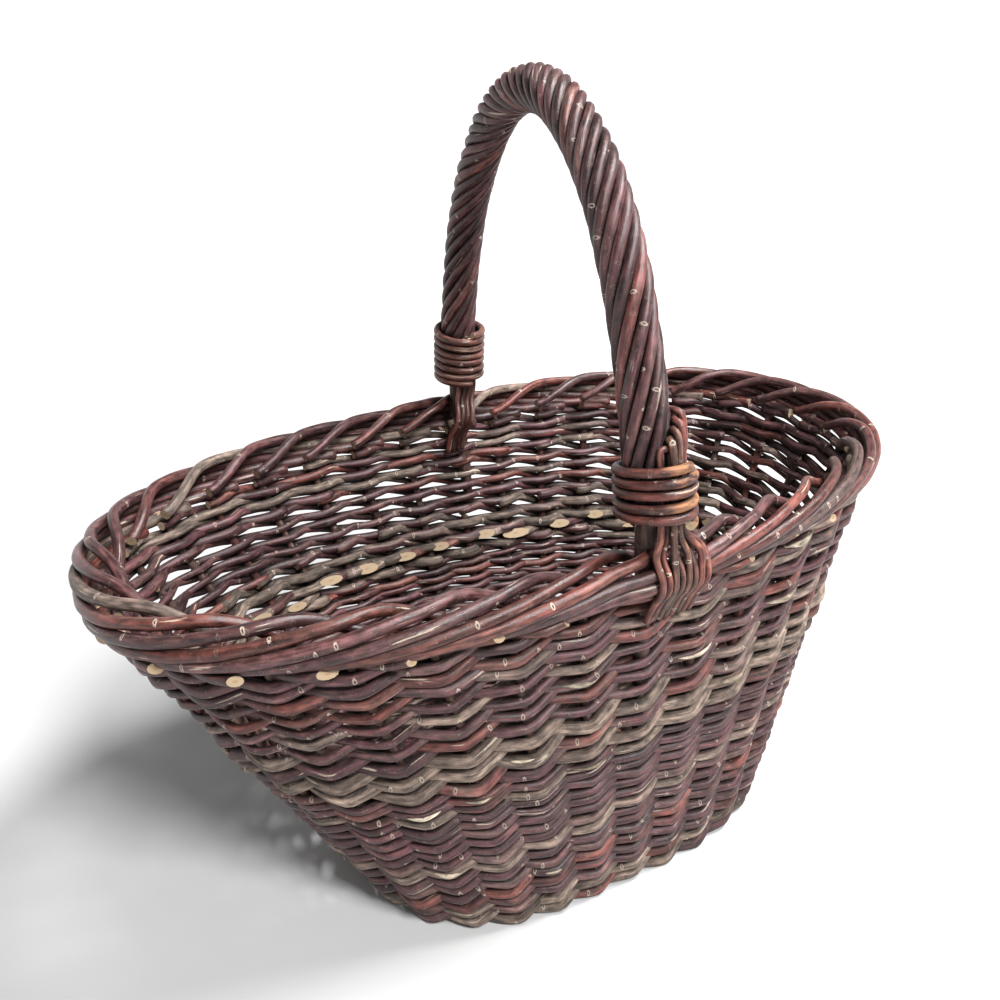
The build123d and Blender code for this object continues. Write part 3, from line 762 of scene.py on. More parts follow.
@dataclass
class RandedBand:
    """Band of weave with one weaver to each stake, in front of one stake and behind the next.

    Runs and reaches along the weave are counted in stakes.
    """

    node: str
    slot: Slot
    seed: int
    first_level: float
    rows: int
    pitches: Pair
    diameters: Pair
    form: BasketForm = BasketForm()
    stake_diameter: float = 5.2
    steps: int = 10
    sides: int = 8
    lead: float = 1.15
    tail: float = 0.8
    climb_run: float = 0.62
    straightness: float = 0.55
    press: float = 0.82
    reach_spread: Pair = (-0.2, 0.3)
    thickness_spread: Pair = (0.9, 1.12)
    unevenness: float = 1.3
    uneven_waves: Pair = (1.7, 3.9)
    kink_reach: float = 0.2
    thin_stake: float = 17.0
    thin_reach: float = 4.0
    thin_share: float = 0.0

    def levels(self) -> Array:
        """Heights of the rows, with one more above the last."""
        pitches = np.linspace(*self.pitches, self.rows)
        return self.first_level + np.concatenate([[0.0], np.cumsum(pitches)])

    def weaver(self, bundle: RodBundle, first: int, levels: Array) -> None:
        """Add one weaver: level up to a stake, a kink over it, and a climb in behind the next.

        Args:
            bundle: Bundle that takes the rod.
            first: Number of the first stake that it passes in front of.
            levels: Heights of the rows.
        """
        random = bundle.random
        run = np.arange(-self.lead, 2 * self.rows - self.tail, 1.0 / self.steps)
        row = np.floor(run / 2.0)
        climb = np.clip((run - 2.0 * row) / self.climb_run, 0.0, 1.0)
        low, high = (np.interp(row + k, np.arange(len(levels)), levels) for k in (0, 1))
        waves = random.uniform(0.0, 2.0 * math.pi, 2)
        uneven = [np.sin(run * pace + wave) for pace, wave in zip(self.uneven_waves, waves)]
        height = low + (high - low) * climb + self.unevenness * np.mean(uneven, axis=0)
        share = np.clip((run + self.lead) / (2.0 * self.rows), 0.0, 1.0)
        thickness = random.uniform(*self.thickness_spread)
        butt, tip = self.diameters
        diameter = (butt + (tip - butt) * share) * thickness
        reach = self.press * (self.stake_diameter + diameter) / 2.0 + random.uniform(*self.reach_spread)
        bend = np.cos(math.pi * run)
        straight = 2.0 / math.pi * np.arcsin(bend)
        outward = reach * (bend + (straight - bend) * self.straightness)
        away = (first + run - self.thin_stake) / self.thin_reach
        thin = np.exp(-away ** 2) * self.thin_share
        path = self.form.wall(first + run, height, outward)
        kink = np.exp(-((run - 2.0 * np.round(run / 2.0)) / self.kink_reach) ** 2)
        bundle.add(path, diameter * (1.0 - thin), wear=kink)

    def build(self, finishes: Finishes) -> bpy.types.Object:
        """Weave the band.

        Args:
            finishes: All materials.

        Returns:
            The band's piece.
        """
        bundle = RodBundle(f"{self.node}_weave", self.slot, self.sides, self.seed)
        for first in range(self.form.stake_count):
            self.weaver(bundle, first, self.levels())
        return bundle.piece(finishes, (self.node,))


@dataclass
class SideStakes:
    """Upright stakes that the bands are woven round."""

    form: BasketForm = BasketForm()
    foot: float = 3.0
    above_wall: float = 6.0
    under_bow: float = 64.0
    diameters: Pair = (5.6, 5.0)
    lean: float = 0.02
    lean_wave: float = 30.0
    steps: int = 42
    sides: int = 10
    seed: int = 11

    def build(self, finishes: Finishes) -> bpy.types.Object:
        """Stand up the stakes.

        Args:
            finishes: All materials.

        Returns:
            The stakes' piece.
        """
        bundle = RodBundle("side_stakes", Slot.STAKE_BARK, self.sides, self.seed)
        form = self.form
        for index in range(form.stake_count):
            at_bow = index in (form.near_bow_stake, form.far_bow_stake)
            top = form.wall_top - self.under_bow if at_bow else form.wall_top + self.above_wall
            height = np.linspace(self.foot, top, self.steps)
            lean = self.lean * np.sin(height / self.lean_wave + bundle.phase())
            path = form.wall(index + lean, height, 0.0)
            bundle.add(path, np.linspace(*self.diameters, self.steps))
        return bundle.piece(finishes, tuple(f"stakes_{side}" for side in SIDES))


@dataclass
class RolledBorder:
    """Border whose rods climb over the roll one after another, with their cut ends below."""

    form: BasketForm = BasketForm()
    diameter: float = 7.0
    tip: float = 5.8
    roll: float = 9.8
    roll_spread: float = 0.35
    thickness_spread: Pair = (0.94, 1.03)
    bow_spread: float = 5.3
    spread_pitches: float = 0.75
    run_steps: int = 60
    smoothing: int = 9
    step: float = 2.6
    sides: int = 14
    worn_place: float = 0.62
    worn_reach: float = 0.25
    worn_most: float = 0.6
    end_sides: int = 12
    end_steps: int = 9
    end_start: Pair = (0.05, 0.2)
    end_run: Pair = (0.5, 0.62)
    end_places: tuple[float, ...] = (0.0, 0.3, 0.6)
    end_inner: Pair = (2.0, 7.5)
    end_outer: Pair = (7.0, 11.0)
    end_levels: Pair = (-11.0, -8.0)
    end_level_spread: Pair = (-3.0, 2.0)
    end_diameters: Pair = (3.6, 5.2)
    end_slants: Pair = (-1.1, -0.3)
    seed: int = 23
    wrap: tuple[tuple[float, float], ...] = (
        (-0.5, -100.0), (0.0, -80.0), (1.0, -44.0), (2.0, -8.0), (3.0, 28.0), (4.0, 78.0), (4.8, 165.0),
        (5.2, 205.0))

    def spread(self, stake: Array) -> Array:
        """How far the roll opens where a foot of the bow comes up through it."""
        nearest = np.minimum.reduce([
            np.abs(stake - foot - self.form.stake_count * turn)
            for foot in (self.form.near_bow_stake, self.form.far_bow_stake) for turn in (-1, 0, 1)])
        share = np.clip(nearest / self.spread_pitches, 0.0, 1.0)
        return self.bow_spread * np.cos(math.pi / 2.0 * share) ** 2

    def rod(self, bundle: RodBundle, index: int) -> None:
        """Add one rod of the border.

        Args:
            bundle: Bundle that takes the rod.
            index: Number of the stake that it belongs to.
        """
        places, angles = np.array(self.wrap).T
        run = np.linspace(places[0], places[-1], self.run_steps)
        angle = np.interp(run, places, angles)
        kernel = np.hanning(self.smoothing) / np.hanning(self.smoothing).sum()
        angle = np.convolve(np.pad(angle, self.smoothing // 2, mode="edge"), kernel, mode="valid")
        turn = np.radians(angle)
        stake = index + run
        spread = self.spread(np.mod(stake, self.form.stake_count)) * np.clip(2.0 * np.cos(turn), -1.0, 1.0)
        roll = self.roll + bundle.random.uniform(-self.roll_spread, self.roll_spread)
        points = self.form.rim(stake, roll * np.cos(turn) + spread, roll * np.sin(turn))
        path = smooth_path(points, self.step)
        thickness = bundle.random.uniform(*self.thickness_spread)
        diameter = np.linspace(self.diameter, self.tip, len(path)) * thickness
        away = np.abs(np.linspace(0.0, 1.0, len(path)) - self.worn_place) / self.worn_reach
        bundle.add(path, diameter, wear=np.clip(1.0 - away, 0.0, 1.0) * self.worn_most)

    def build(self, finishes: Finishes) -> bpy.types.Object:
        """Roll the border.

        Args:
            finishes: All materials.

        Returns:
            The border's piece.
        """
        bundle = RodBundle("rolled_border", Slot.BORDER_BARK, self.sides, self.seed)
        for index in range(self.form.stake_count):
            self.rod(bundle, index)
        return bundle.piece(finishes, tuple(f"border_rods_{side}" for side in SIDES))

    def cut_ends(self, finishes: Finishes) -> bpy.types.Object:
        """Short cut ends that come out below the border, one to a stake.

        Args:
            finishes: All materials.

        Returns:
            The cut ends' piece.
        """
        bundle = RodBundle("border_cut_ends", Slot.BORDER_BARK, self.end_sides, self.seed + 1)
        random = bundle.random
        first, last = self.end_places[0], self.end_places[-1]
        for index in range(self.form.stake_count):
            start = index + random.uniform(*self.end_start)
            run = np.linspace(0.0, random.uniform(*self.end_run), self.end_steps)
            reaches = [*self.end_inner, random.uniform(*self.end_outer)]
            outward = np.interp(run, self.end_places, reaches)
            height = np.interp(run, (first, last), self.end_levels) + random.uniform(*self.end_level_spread)
            path = self.form.rim(start + run, outward, height)
            bundle.add(path, random.uniform(*self.end_diameters), slant=random.uniform(*self.end_slants))
        return bundle.piece(finishes)


@dataclass
class Handle:
    """Arched handle: a bow with rods roped round it, and rods and a binding at each foot."""

    form: BasketForm = BasketForm()
    height: float = 427.0
    arch_steps: int = 2001
    bow_diameter: float = 12.0
    bow_foot_diameter: float = 9.4
    bow_tip_diameter: float = 4.5
    bow_depth: float = 62.0
    bow_slype: float = 34.0
    bow_steps: int = 60
    bow_sides: int = 14
    bow_span: Pair = (0.012, 0.988)
    bow_knobs: float = 0.03
    roping_count: int = 9
    roping_sides: int = 10
    roping_steps: int = 190
    roping_seat: float = 0.8
    roping_thickness: float = 4.5
    roping_foot: float = 25.0
    roping_wobble: float = 1.6
    roping_wave: float = 31.0
    roping_spread: Pair = (0.94, 1.06)
    roping_wear: float = 0.25
    roping_diameters: tuple[tuple[float, float], ...] = (
        (0.0, 5.7), (0.2, 5.5), (0.45, 5.2), (0.75, 5.4), (1.0, 5.5))
    roping_leans: tuple[tuple[float, float], ...] = (
        (0.0, 16.0), (0.15, 20.0), (0.42, 37.0), (0.58, 36.0), (0.75, 29.0), (1.0, 24.0))
    binding_diameter: float = 4.6
    binding_pitch: float = 5.3
    binding_start: float = 26.0
    binding_gap: float = 0.75
    near_turns: int = 5
    far_turns: int = 7
    near_binding_reach: Pair = (22.2, 14.7)
    far_binding_reach: Pair = (18.4, 14.9)
    binding_steps: int = 44
    binding_sides: int = 12
    binding_wobble: float = 0.35
    binding_wave: Pair = (0.37, 1.0)
    binding_knobs: float = 0.05
    binding_wear: Pair = (1.4, -0.2)
    far_binding_wear: float = 0.2
    patch_levels: Pair = (0.78, 0.22)
    patch_wave: Pair = (0.41, 2.2)
    rod_diameter: float = 3.2
    hooked_diameter: float = 3.456
    far_rod_diameter: float = 3.52
    rod_sides: int = 10
    rod_step: float = 2.5
    hooked_step: float = 2.0
    hooked_wear: float = 0.5
    rod_end: float = 5.0
    near_bundle: float = -62.0
    far_bundle: float = 80.0
    inner_rods: float = 13.25
    outer_rods: float = 16.8
    end_rods: float = 13.75
    rod_pitch: float = 3.7
    rod_drop: float = 4.0
    shoulder: float = 13.6
    outer_shoulder: float = 17.0
    near_fan_start: float = -5.0
    far_fan_start: float = -7.0
    far_fan_lean: float = -8.0
    fan_reach: float = 18.85
    fan_top: float = 12.0
    fan_bend: float = 3.65
    fan_tuck: float = 12.0
    wall_clear: float = 8.45
    hook_start: float = 60.0
    hook_pitch: float = 3.7
    hook_back: float = 38.0
    hook_steps: int = 8
    fan_places: tuple[float, ...] = (0.0, 0.25, 0.5, 0.75)
    near_inner: tuple[float, ...] = (-16.5, 0.0, 16.5)
    near_outer: tuple[float, ...] = (-32.5, -14.0, 0.0, 14.0, 32.5)
    far_rods: tuple[float, ...] = (25.0, 8.3, -8.3, -25.0)
    hook_bend: tuple[tuple[float, float, float], ...] = (
        (0.0, 12.0, 0.0), (0.05, 3.0, 0.2), (0.27, 1.0, 0.75), (1.0, 0.0, 1.0))
    seed: int = 41

    def __post_init__(self) -> None:
        """Lay out the arch between its two feet."""
        form = self.form
        near = form.rim(np.array([form.near_bow_stake]), 0.0, 0.0)[0]
        far = form.rim(np.array([form.far_foot]), 0.0, 0.0)[0]
        self.middle = (near + far) / 2.0
        self.half = (far - near) / 2.0
        self.rise = self.height - self.middle[2]
        angle = np.linspace(0.0, math.pi, self.arch_steps)
        self.arch = self.middle - np.outer(np.cos(angle), self.half)
        self.arch[:, 2] += self.rise * np.sin(angle)
        steps = np.linalg.norm(np.diff(self.arch, axis=0), axis=1)
        self.lengths = np.concatenate([[0.0], np.cumsum(steps)])
        self.length = float(self.lengths[-1])
        self.sideways = np.cross(self.half, (0.0, 0.0, 1.0))
        self.sideways /= np.linalg.norm(self.sideways)

    def along(self, length: Array) -> Array:
        """Points of the arch's middle line at some lengths from the near foot."""
        return np.stack([np.interp(length, self.lengths, self.arch[:, k]) for k in range(3)], axis=1)

    def beside(self, length: Array, degrees: Array, radius: Array) -> Array:
        """Points beside the arch.

        Args:
            length: Lengths along the arch from the near foot.
            degrees: Angles round it from the sideways direction.
            radius: Distances from its middle line.

        Returns:
            One row of x, y and z for each place.
        """
        length = np.atleast_1d(np.asarray(length, float))
        tangent = self.along(length + 0.5) - self.along(length - 0.5)
        tangent /= np.linalg.norm(tangent, axis=1)[:, None]
        other = np.cross(tangent, self.sideways)
        turn = np.radians(np.broadcast_to(degrees, length.shape))[:, None]
        radius = np.broadcast_to(radius, length.shape)[:, None]
        return self.along(length) + radius * (np.cos(turn) * self.sideways + np.sin(turn) * other)

    def bow(self, finishes: Finishes) -> bpy.types.Object:
        """Make the bow, whose slanted ends show through the weave.

        Args:
            finishes: All materials.

        Returns:
            The bow's piece.
        """
        form = self.form
        bundle = RodBundle("handle_core", Slot.STAKE_BARK, self.bow_sides, self.seed)
        heights = form.wall_top - self.bow_depth + np.array([0.0, self.bow_slype, self.bow_depth])
        near = form.wall(np.full(3, float(form.near_bow_stake)), heights, 0.0)
        far = form.wall(np.full(3, form.far_foot), heights[::-1], 0.0)
        arch = self.beside(np.linspace(*self.bow_span, self.bow_steps) * self.length, 0.0, 0.0)
        path = np.vstack([near, arch, far])
        foot = np.array([self.bow_tip_diameter, self.bow_foot_diameter, self.bow_foot_diameter])
        diameter = np.concatenate([foot, np.full(self.bow_steps, self.bow_diameter), foot[::-1]])
        bundle.add(path, diameter, knobs=self.bow_knobs)
        return bundle.piece(finishes, ("handle_bow",))

    def roping(self, finishes: Finishes) -> None:
        """Make the rods roped round the bow, each a piece of its own.

        Args:
            finishes: All materials.
        """
        length = np.linspace(self.roping_foot, self.length - self.roping_foot, self.roping_steps)
        share = np.linspace(0.0, 1.0, self.roping_steps)
        lean = np.interp(share, *zip(*self.roping_leans))
        diameter = np.interp(share, *zip(*self.roping_diameters))
        radius = self.bow_diameter / 2.0 + self.roping_seat + self.roping_thickness / 2.0
        climb = np.gradient(length) * np.tan(np.radians(lean)) / radius
        turn = np.degrees(np.concatenate([[0.0], np.cumsum(climb)[:-1]]))
        for index in range(self.roping_count):
            number = index + 1
            seed = self.seed + 1 + number
            bundle = RodBundle(f"handle_roping_{number}", Slot.ROPING_BARK, self.roping_sides, seed)
            wobble = self.roping_wobble * np.sin(length / self.roping_wave + bundle.phase())
            path = self.beside(length, turn + 360.0 * index / self.roping_count + wobble, radius)
            thickness = bundle.random.uniform(*self.roping_spread)
            bundle.add(path, diameter * thickness, wear=self.roping_wear)
            bundle.piece(finishes, (f"roping_rod_{number}",))

    def foot(self, near: bool, height: Array, degrees: Array, radius: Array) -> Array:
        """Points beside a foot of the handle.

        Args:
            near: Whether it is the near foot.
            height: Heights above the border.
            degrees: Angles from the middle of the foot's rods.
            radius: Distances from the bow's middle line.

        Returns:
            One row of x, y and z for each place.
        """
        height = np.atleast_1d(np.asarray(height, float))
        if near:
            return self.beside(height, self.near_bundle + degrees, radius)
        return self.beside(self.length - height, self.far_bundle + degrees, radius)

    def binding(self, finishes: Finishes, near: bool) -> None:
        """Wind one rod round a foot and its rods.

        Args:
            finishes: All materials.
            near: Whether it is the near foot.
        """
        name = "near_foot" if near else "far_foot"
        turns = self.near_turns if near else self.far_turns
        reach, side = self.near_binding_reach if near else self.far_binding_reach
        seed = self.seed + 20 + turns
        bundle = RodBundle(f"{name}_wound_binding", Slot.BINDING_BARK, self.binding_sides, seed)
        over_roping = self.bow_diameter / 2.0 + self.roping_seat + self.roping_thickness
        back = over_roping + self.binding_diameter / 2.0 + self.binding_gap
        turned = np.linspace(0.0, turns, self.binding_steps * turns)
        angle = 2.0 * math.pi * turned
        x = (reach - back) / 2.0 + (reach + back) / 2.0 * np.cos(angle)
        y = side * np.sin(angle)
        pace, start = self.binding_wave
        wobble = self.binding_wobble * np.sin(angle * pace + start)
        height = self.binding_start + self.binding_pitch * turned + wobble
        path = self.foot(near, height, np.degrees(np.arctan2(y, x)), np.hypot(x, y))
        pace, start = self.patch_wave
        level, swing = self.patch_levels
        patchy = level + swing * np.sin(angle * pace + start)
        share, least = self.binding_wear
        worn = np.clip(share * np.cos(angle) + least, 0.0, 1.0) * patchy
        wear = worn if near else self.far_binding_wear
        bundle.add(path, self.binding_diameter, wear=wear, knobs=self.binding_knobs)
        bundle.piece(finishes, (f"{name}_binding",))

    def fan(self, near: bool, along: float, lean: float, shoulder: float) -> Array:
        """Lower stretch of a foot rod, over the border and down beside the wall.

        Args:
            near: Whether it is a rod of the near foot.
            along: Place along the border from the foot.
            lean: How much further along it ends.
            shoulder: How far it stands off the border's middle line.

        Returns:
            Points of its middle line.
        """
        form = self.form
        stake = form.near_bow_stake if near else form.far_foot
        side = 1.0 if near else -1.0
        places = stake + side * (along + lean * np.array(self.fan_places)) / form.pitch()
        outward = side * np.array([shoulder, self.fan_reach, self.fan_reach, self.shoulder])
        heights = np.array([self.fan_top, self.fan_bend, -self.fan_bend, -self.fan_top])
        over = form.rim(places, outward, heights)
        tuck = np.array([stake + side * (along + lean) / form.pitch()])
        return np.vstack([over, form.wall(tuck, form.wall_top - self.fan_tuck, side * self.wall_clear)])

    def straight(self, near: bool, degrees: float, turns: int) -> Array:
        """Upper stretch of a foot rod that ends under the last turn of its binding."""
        top = self.binding_start + self.binding_pitch * turns - self.rod_end
        low = self.binding_start - self.rod_drop
        return self.foot(near, np.array([top, (top + low) / 2.0, low]), degrees, self.inner_rods)

    def hooked(self, order: int, degrees: float, radius: float) -> Array:
        """Upper stretch of a near foot rod that bends over the binding and passes behind the leg.

        Args:
            order: Place of the rod, from the left.
            degrees: Its angle in the bundle.
            radius: Its distance from the bow's middle line.

        Returns:
            Points of its middle line.
        """
        height = self.hook_start + self.hook_pitch * order
        leg = self.outer_rods if order else radius
        first = degrees + self.hook_bend[0][1]
        last = self.hook_back - self.near_bundle
        around = np.linspace(last, first, self.hook_steps)[:-1]
        rows = [self.foot(True, np.full_like(around, height), around, self.inner_rods)]
        for drop, ahead, share in self.hook_bend:
            out = self.inner_rods + (leg - self.inner_rods) * share
            rows.append(self.foot(True, height - self.hook_pitch * drop, degrees + ahead, out))
        if order:
            rows.append(self.foot(True, self.hook_start - self.hook_pitch / 2.0, degrees, leg))
        top = self.binding_start + self.binding_pitch * self.near_turns
        low = self.binding_start - self.rod_drop
        rows.append(self.foot(True, np.array([top, (top + low) / 2.0, low]), degrees, radius))
        return np.vstack(rows)

    def foot_rods(self, finishes: Finishes) -> None:
        """Make the rods that hold each foot of the handle to the border.

        Args:
            finishes: All materials.
        """
        near = RodBundle("near_foot_rods", Slot.FOOT_ROD_BARK, self.rod_sides, self.seed + 40)
        place = 0
        last = len(self.near_outer) - 1
        for order, degrees in enumerate(self.near_outer):
            at_end = order in (0, last)
            if not at_end:
                upper = self.straight(True, self.near_inner[order - 1], self.near_turns)
                along = self.near_fan_start + self.rod_pitch * place
                path = np.vstack([upper, self.fan(True, along, 0.0, self.shoulder)])
                near.add(smooth_path(path, self.rod_step), self.rod_diameter)
                place += 1
            upper = self.hooked(order, degrees, self.end_rods if at_end else self.outer_rods)
            shoulder = self.shoulder if at_end else self.outer_shoulder
            along = self.near_fan_start + self.rod_pitch * place
            path = np.vstack([upper, self.fan(True, along, 0.0, shoulder)])
            path = smooth_path(path, self.hooked_step)
            near.add(path, self.hooked_diameter, wear=self.hooked_wear)
            place += 1
        near.piece(finishes, ("near_foot_straight_rods", "near_foot_hooked_rods"))
        far = RodBundle("far_foot_rods", Slot.FOOT_ROD_BARK, self.rod_sides, self.seed + 41)
        for place, degrees in enumerate(self.far_rods):
            along = self.far_fan_start + self.rod_pitch * place
            lower = self.fan(False, along, self.far_fan_lean, self.shoulder)
            path = np.vstack([self.straight(False, degrees, self.far_turns), lower])
            far.add(smooth_path(path, self.rod_step), self.far_rod_diameter)
        far.piece(finishes, ("far_foot_straight_rods",))


@dataclass
class WovenFloor:
    """Floor of seven cross sticks and three long ones, with thin rods woven between them."""

    form: BasketForm = BasketForm()
    height: float = 10.8
    cross_count: int = 7
    cross_spacing: float = 27.0
    cross_diameter: float = 10.0
    cross_steps: int = 40
    cross_sides: int = 14
    long_spacing: float = 13.0
    long_diameter: float = 5.0
    long_steps: int = 60
    long_sides: int = 12
    rod_diameter: float = 3.5
    rod_spacing: float = 3.9
    rod_spread: Pair = (0.88, 1.12)
    rod_step: float = 4.0
    rod_sides: int = 8
    rod_wear: float = 0.3
    drift: float = 0.5
    drift_wave: float = 19.0
    knobs: float = 0.03
    inset: float = 7.5
    seed: int = 71

    def half_chord(self, y: float) -> float:
        """Half the floor's length at a distance from its middle."""
        base = self.form.base
        half_length = base.half_length - self.inset
        half_width = base.half_width - self.inset
        share = min(1.0, abs(y) / half_width) ** base.squareness
        return half_length * (1.0 - share) ** (1.0 / base.squareness)

    def half_width(self, x: float) -> float:
        """Half the floor's width at a distance from its middle."""
        base = self.form.base
        share = min(1.0, abs(x) / (base.half_length - self.inset)) ** base.squareness
        return (base.half_width - self.inset) * (1.0 - share) ** (1.0 / base.squareness)

    def middle(self) -> Array:
        """Middle of the floor."""
        return np.array([self.form.base.middle_x, self.form.base.middle_y, self.height])

    def sticks(self, finishes: Finishes) -> None:
        """Lay the cross sticks and the long sticks.

        Args:
            finishes: All materials.
        """
        cross = RodBundle("floor_cross_pieces", Slot.PEELED_STICK, self.cross_sides, self.seed)
        across = np.linspace(-1.0, 1.0, self.cross_steps)
        for k in range(self.cross_count):
            x = self.cross_spacing * (k - (self.cross_count - 1) / 2.0)
            y = across * self.half_width(x)
            path = self.middle() + np.stack([np.full_like(y, x), y, np.zeros_like(y)], axis=1)
            cross.add(path, self.cross_diameter, knobs=self.knobs)
        cross.piece(finishes, ("floor_cross_sticks",))
        long = RodBundle("floor_long_pieces", Slot.PEELED_STICK, self.long_sides, self.seed + 1)
        along = np.linspace(-1.0, 1.0, self.long_steps)
        for k in (-1, 0, 1):
            y = self.long_spacing * k
            x = along * self.half_chord(y)
            path = self.middle() + np.stack([x, np.full_like(x, y), np.zeros_like(x)], axis=1)
            long.add(path, self.long_diameter, knobs=self.knobs)
        long.piece(finishes, ("floor_long_sticks",))

    def weave(self, finishes: Finishes) -> None:
        """Weave thin rods over and under the cross sticks.

        Args:
            finishes: All materials.
        """
        bundle = RodBundle("floor_weave_rods", Slot.BROWN_BARK, self.rod_sides, self.seed + 2)
        random = bundle.random
        count = int(2.0 * (self.form.base.half_width - self.inset) / self.rod_spacing)
        reach = (self.cross_diameter + self.rod_diameter) / 2.0
        for k in range(count):
            y = self.rod_spacing * (k - (count - 1) / 2.0)
            half = self.half_chord(y)
            x = np.linspace(-half, half, max(5, int(2.0 * half / self.rod_step)))
            side = 1.0 if k % 2 else -1.0
            z = side * reach * np.cos(math.pi * x / self.cross_spacing)
            drift = self.drift * np.sin(x / self.drift_wave + bundle.phase())
            path = self.middle() + np.stack([x, y + drift, z], axis=1)
            bundle.add(path, self.rod_diameter * random.uniform(*self.rod_spread), wear=self.rod_wear)
        bundle.piece(finishes, ("floor_weave",))


@dataclass
class RodEnds:
    """Cut ends of weavers inside the wall, and pale splinters on its outside."""

    form: BasketForm = BasketForm()
    end_heights: Pair = (116.0, 127.0)
    end_diameters: Pair = (5.6, 7.0)
    end_places: tuple[float, ...] = (0.0, 0.3, 0.55)
    end_reaches: tuple[float, ...] = (-2.0, -6.5, -8.0)
    end_slants: Pair = (0.9, 1.5)
    end_rise: float = 4.0
    end_start: Pair = (0.0, 0.3)
    end_steps: int = 8
    end_sides: int = 12
    splinter_count: int = 30
    splinter_steps: int = 14
    splinter_sides: int = 6
    splinter_diameters: Pair = (1.6, 2.8)
    splinter_starts: Pair = (0.25, 0.5)
    splinter_ends: Pair = (0.1, 0.3)
    splinter_wave: float = 0.4
    splinter_waves: float = 11.0
    splinter_climb: float = 9.0
    splinter_knobs: float = 0.5
    taper: Pair = (0.25, math.pi - 0.2)
    above_row: float = 1.2
    weaver_reach: float = 5.2
    off_weaver: float = 1.5
    seed: int = 83

    def inner_ends(self, finishes: Finishes) -> bpy.types.Object:
        """Make the slanted pale ends of the thick weavers, one beside each stake.

        Args:
            finishes: All materials.

        Returns:
            The ends' piece.
        """
        bundle = RodBundle("weaver_ends", Slot.GREY_BARK, self.end_sides, self.seed)
        random = bundle.random
        for index in range(self.form.stake_count):
            run = np.linspace(0.0, self.end_places[-1], self.end_steps)
            height = random.uniform(*self.end_heights) + run * self.end_rise
            outward = np.interp(run, self.end_places, self.end_reaches)
            stake = index + random.uniform(*self.end_start)
            path = self.form.wall(stake + run, height, outward)
            bundle.add(path, random.uniform(*self.end_diameters), slant=random.uniform(*self.end_slants))
        return bundle.piece(finishes)

    def splinters(self, finishes: Finishes, levels: Array) -> bpy.types.Object:
        """Make the pale splinters that stand off split rods.

        Args:
            finishes: All materials.
            levels: Heights of the rows that they stand off.

        Returns:
            The splinters' piece.
        """
        bundle = RodBundle("pale_splinters", Slot.PEELED_STICK, self.splinter_sides, self.seed + 1)
        random = bundle.random
        for _ in range(self.splinter_count):
            start = -random.uniform(*self.splinter_starts)
            run = np.linspace(start, random.uniform(*self.splinter_ends), self.splinter_steps)
            stake = random.integers(0, self.form.stake_count)
            wave = self.splinter_wave * np.sin(run * self.splinter_waves + bundle.phase())
            row = random.choice(levels) + self.above_row
            height = row + np.clip(run, 0.0, 1.0) * self.splinter_climb + wave
            outward = self.weaver_reach * np.cos(math.pi * run) + self.off_weaver + wave
            path = self.form.wall(stake + run, height, outward)
            taper = np.sin(np.linspace(*self.taper, self.splinter_steps))
            diameter = random.uniform(*self.splinter_diameters) * taper
            bundle.add(path, diameter, knobs=self.splinter_knobs)
        return bundle.piece(finishes)


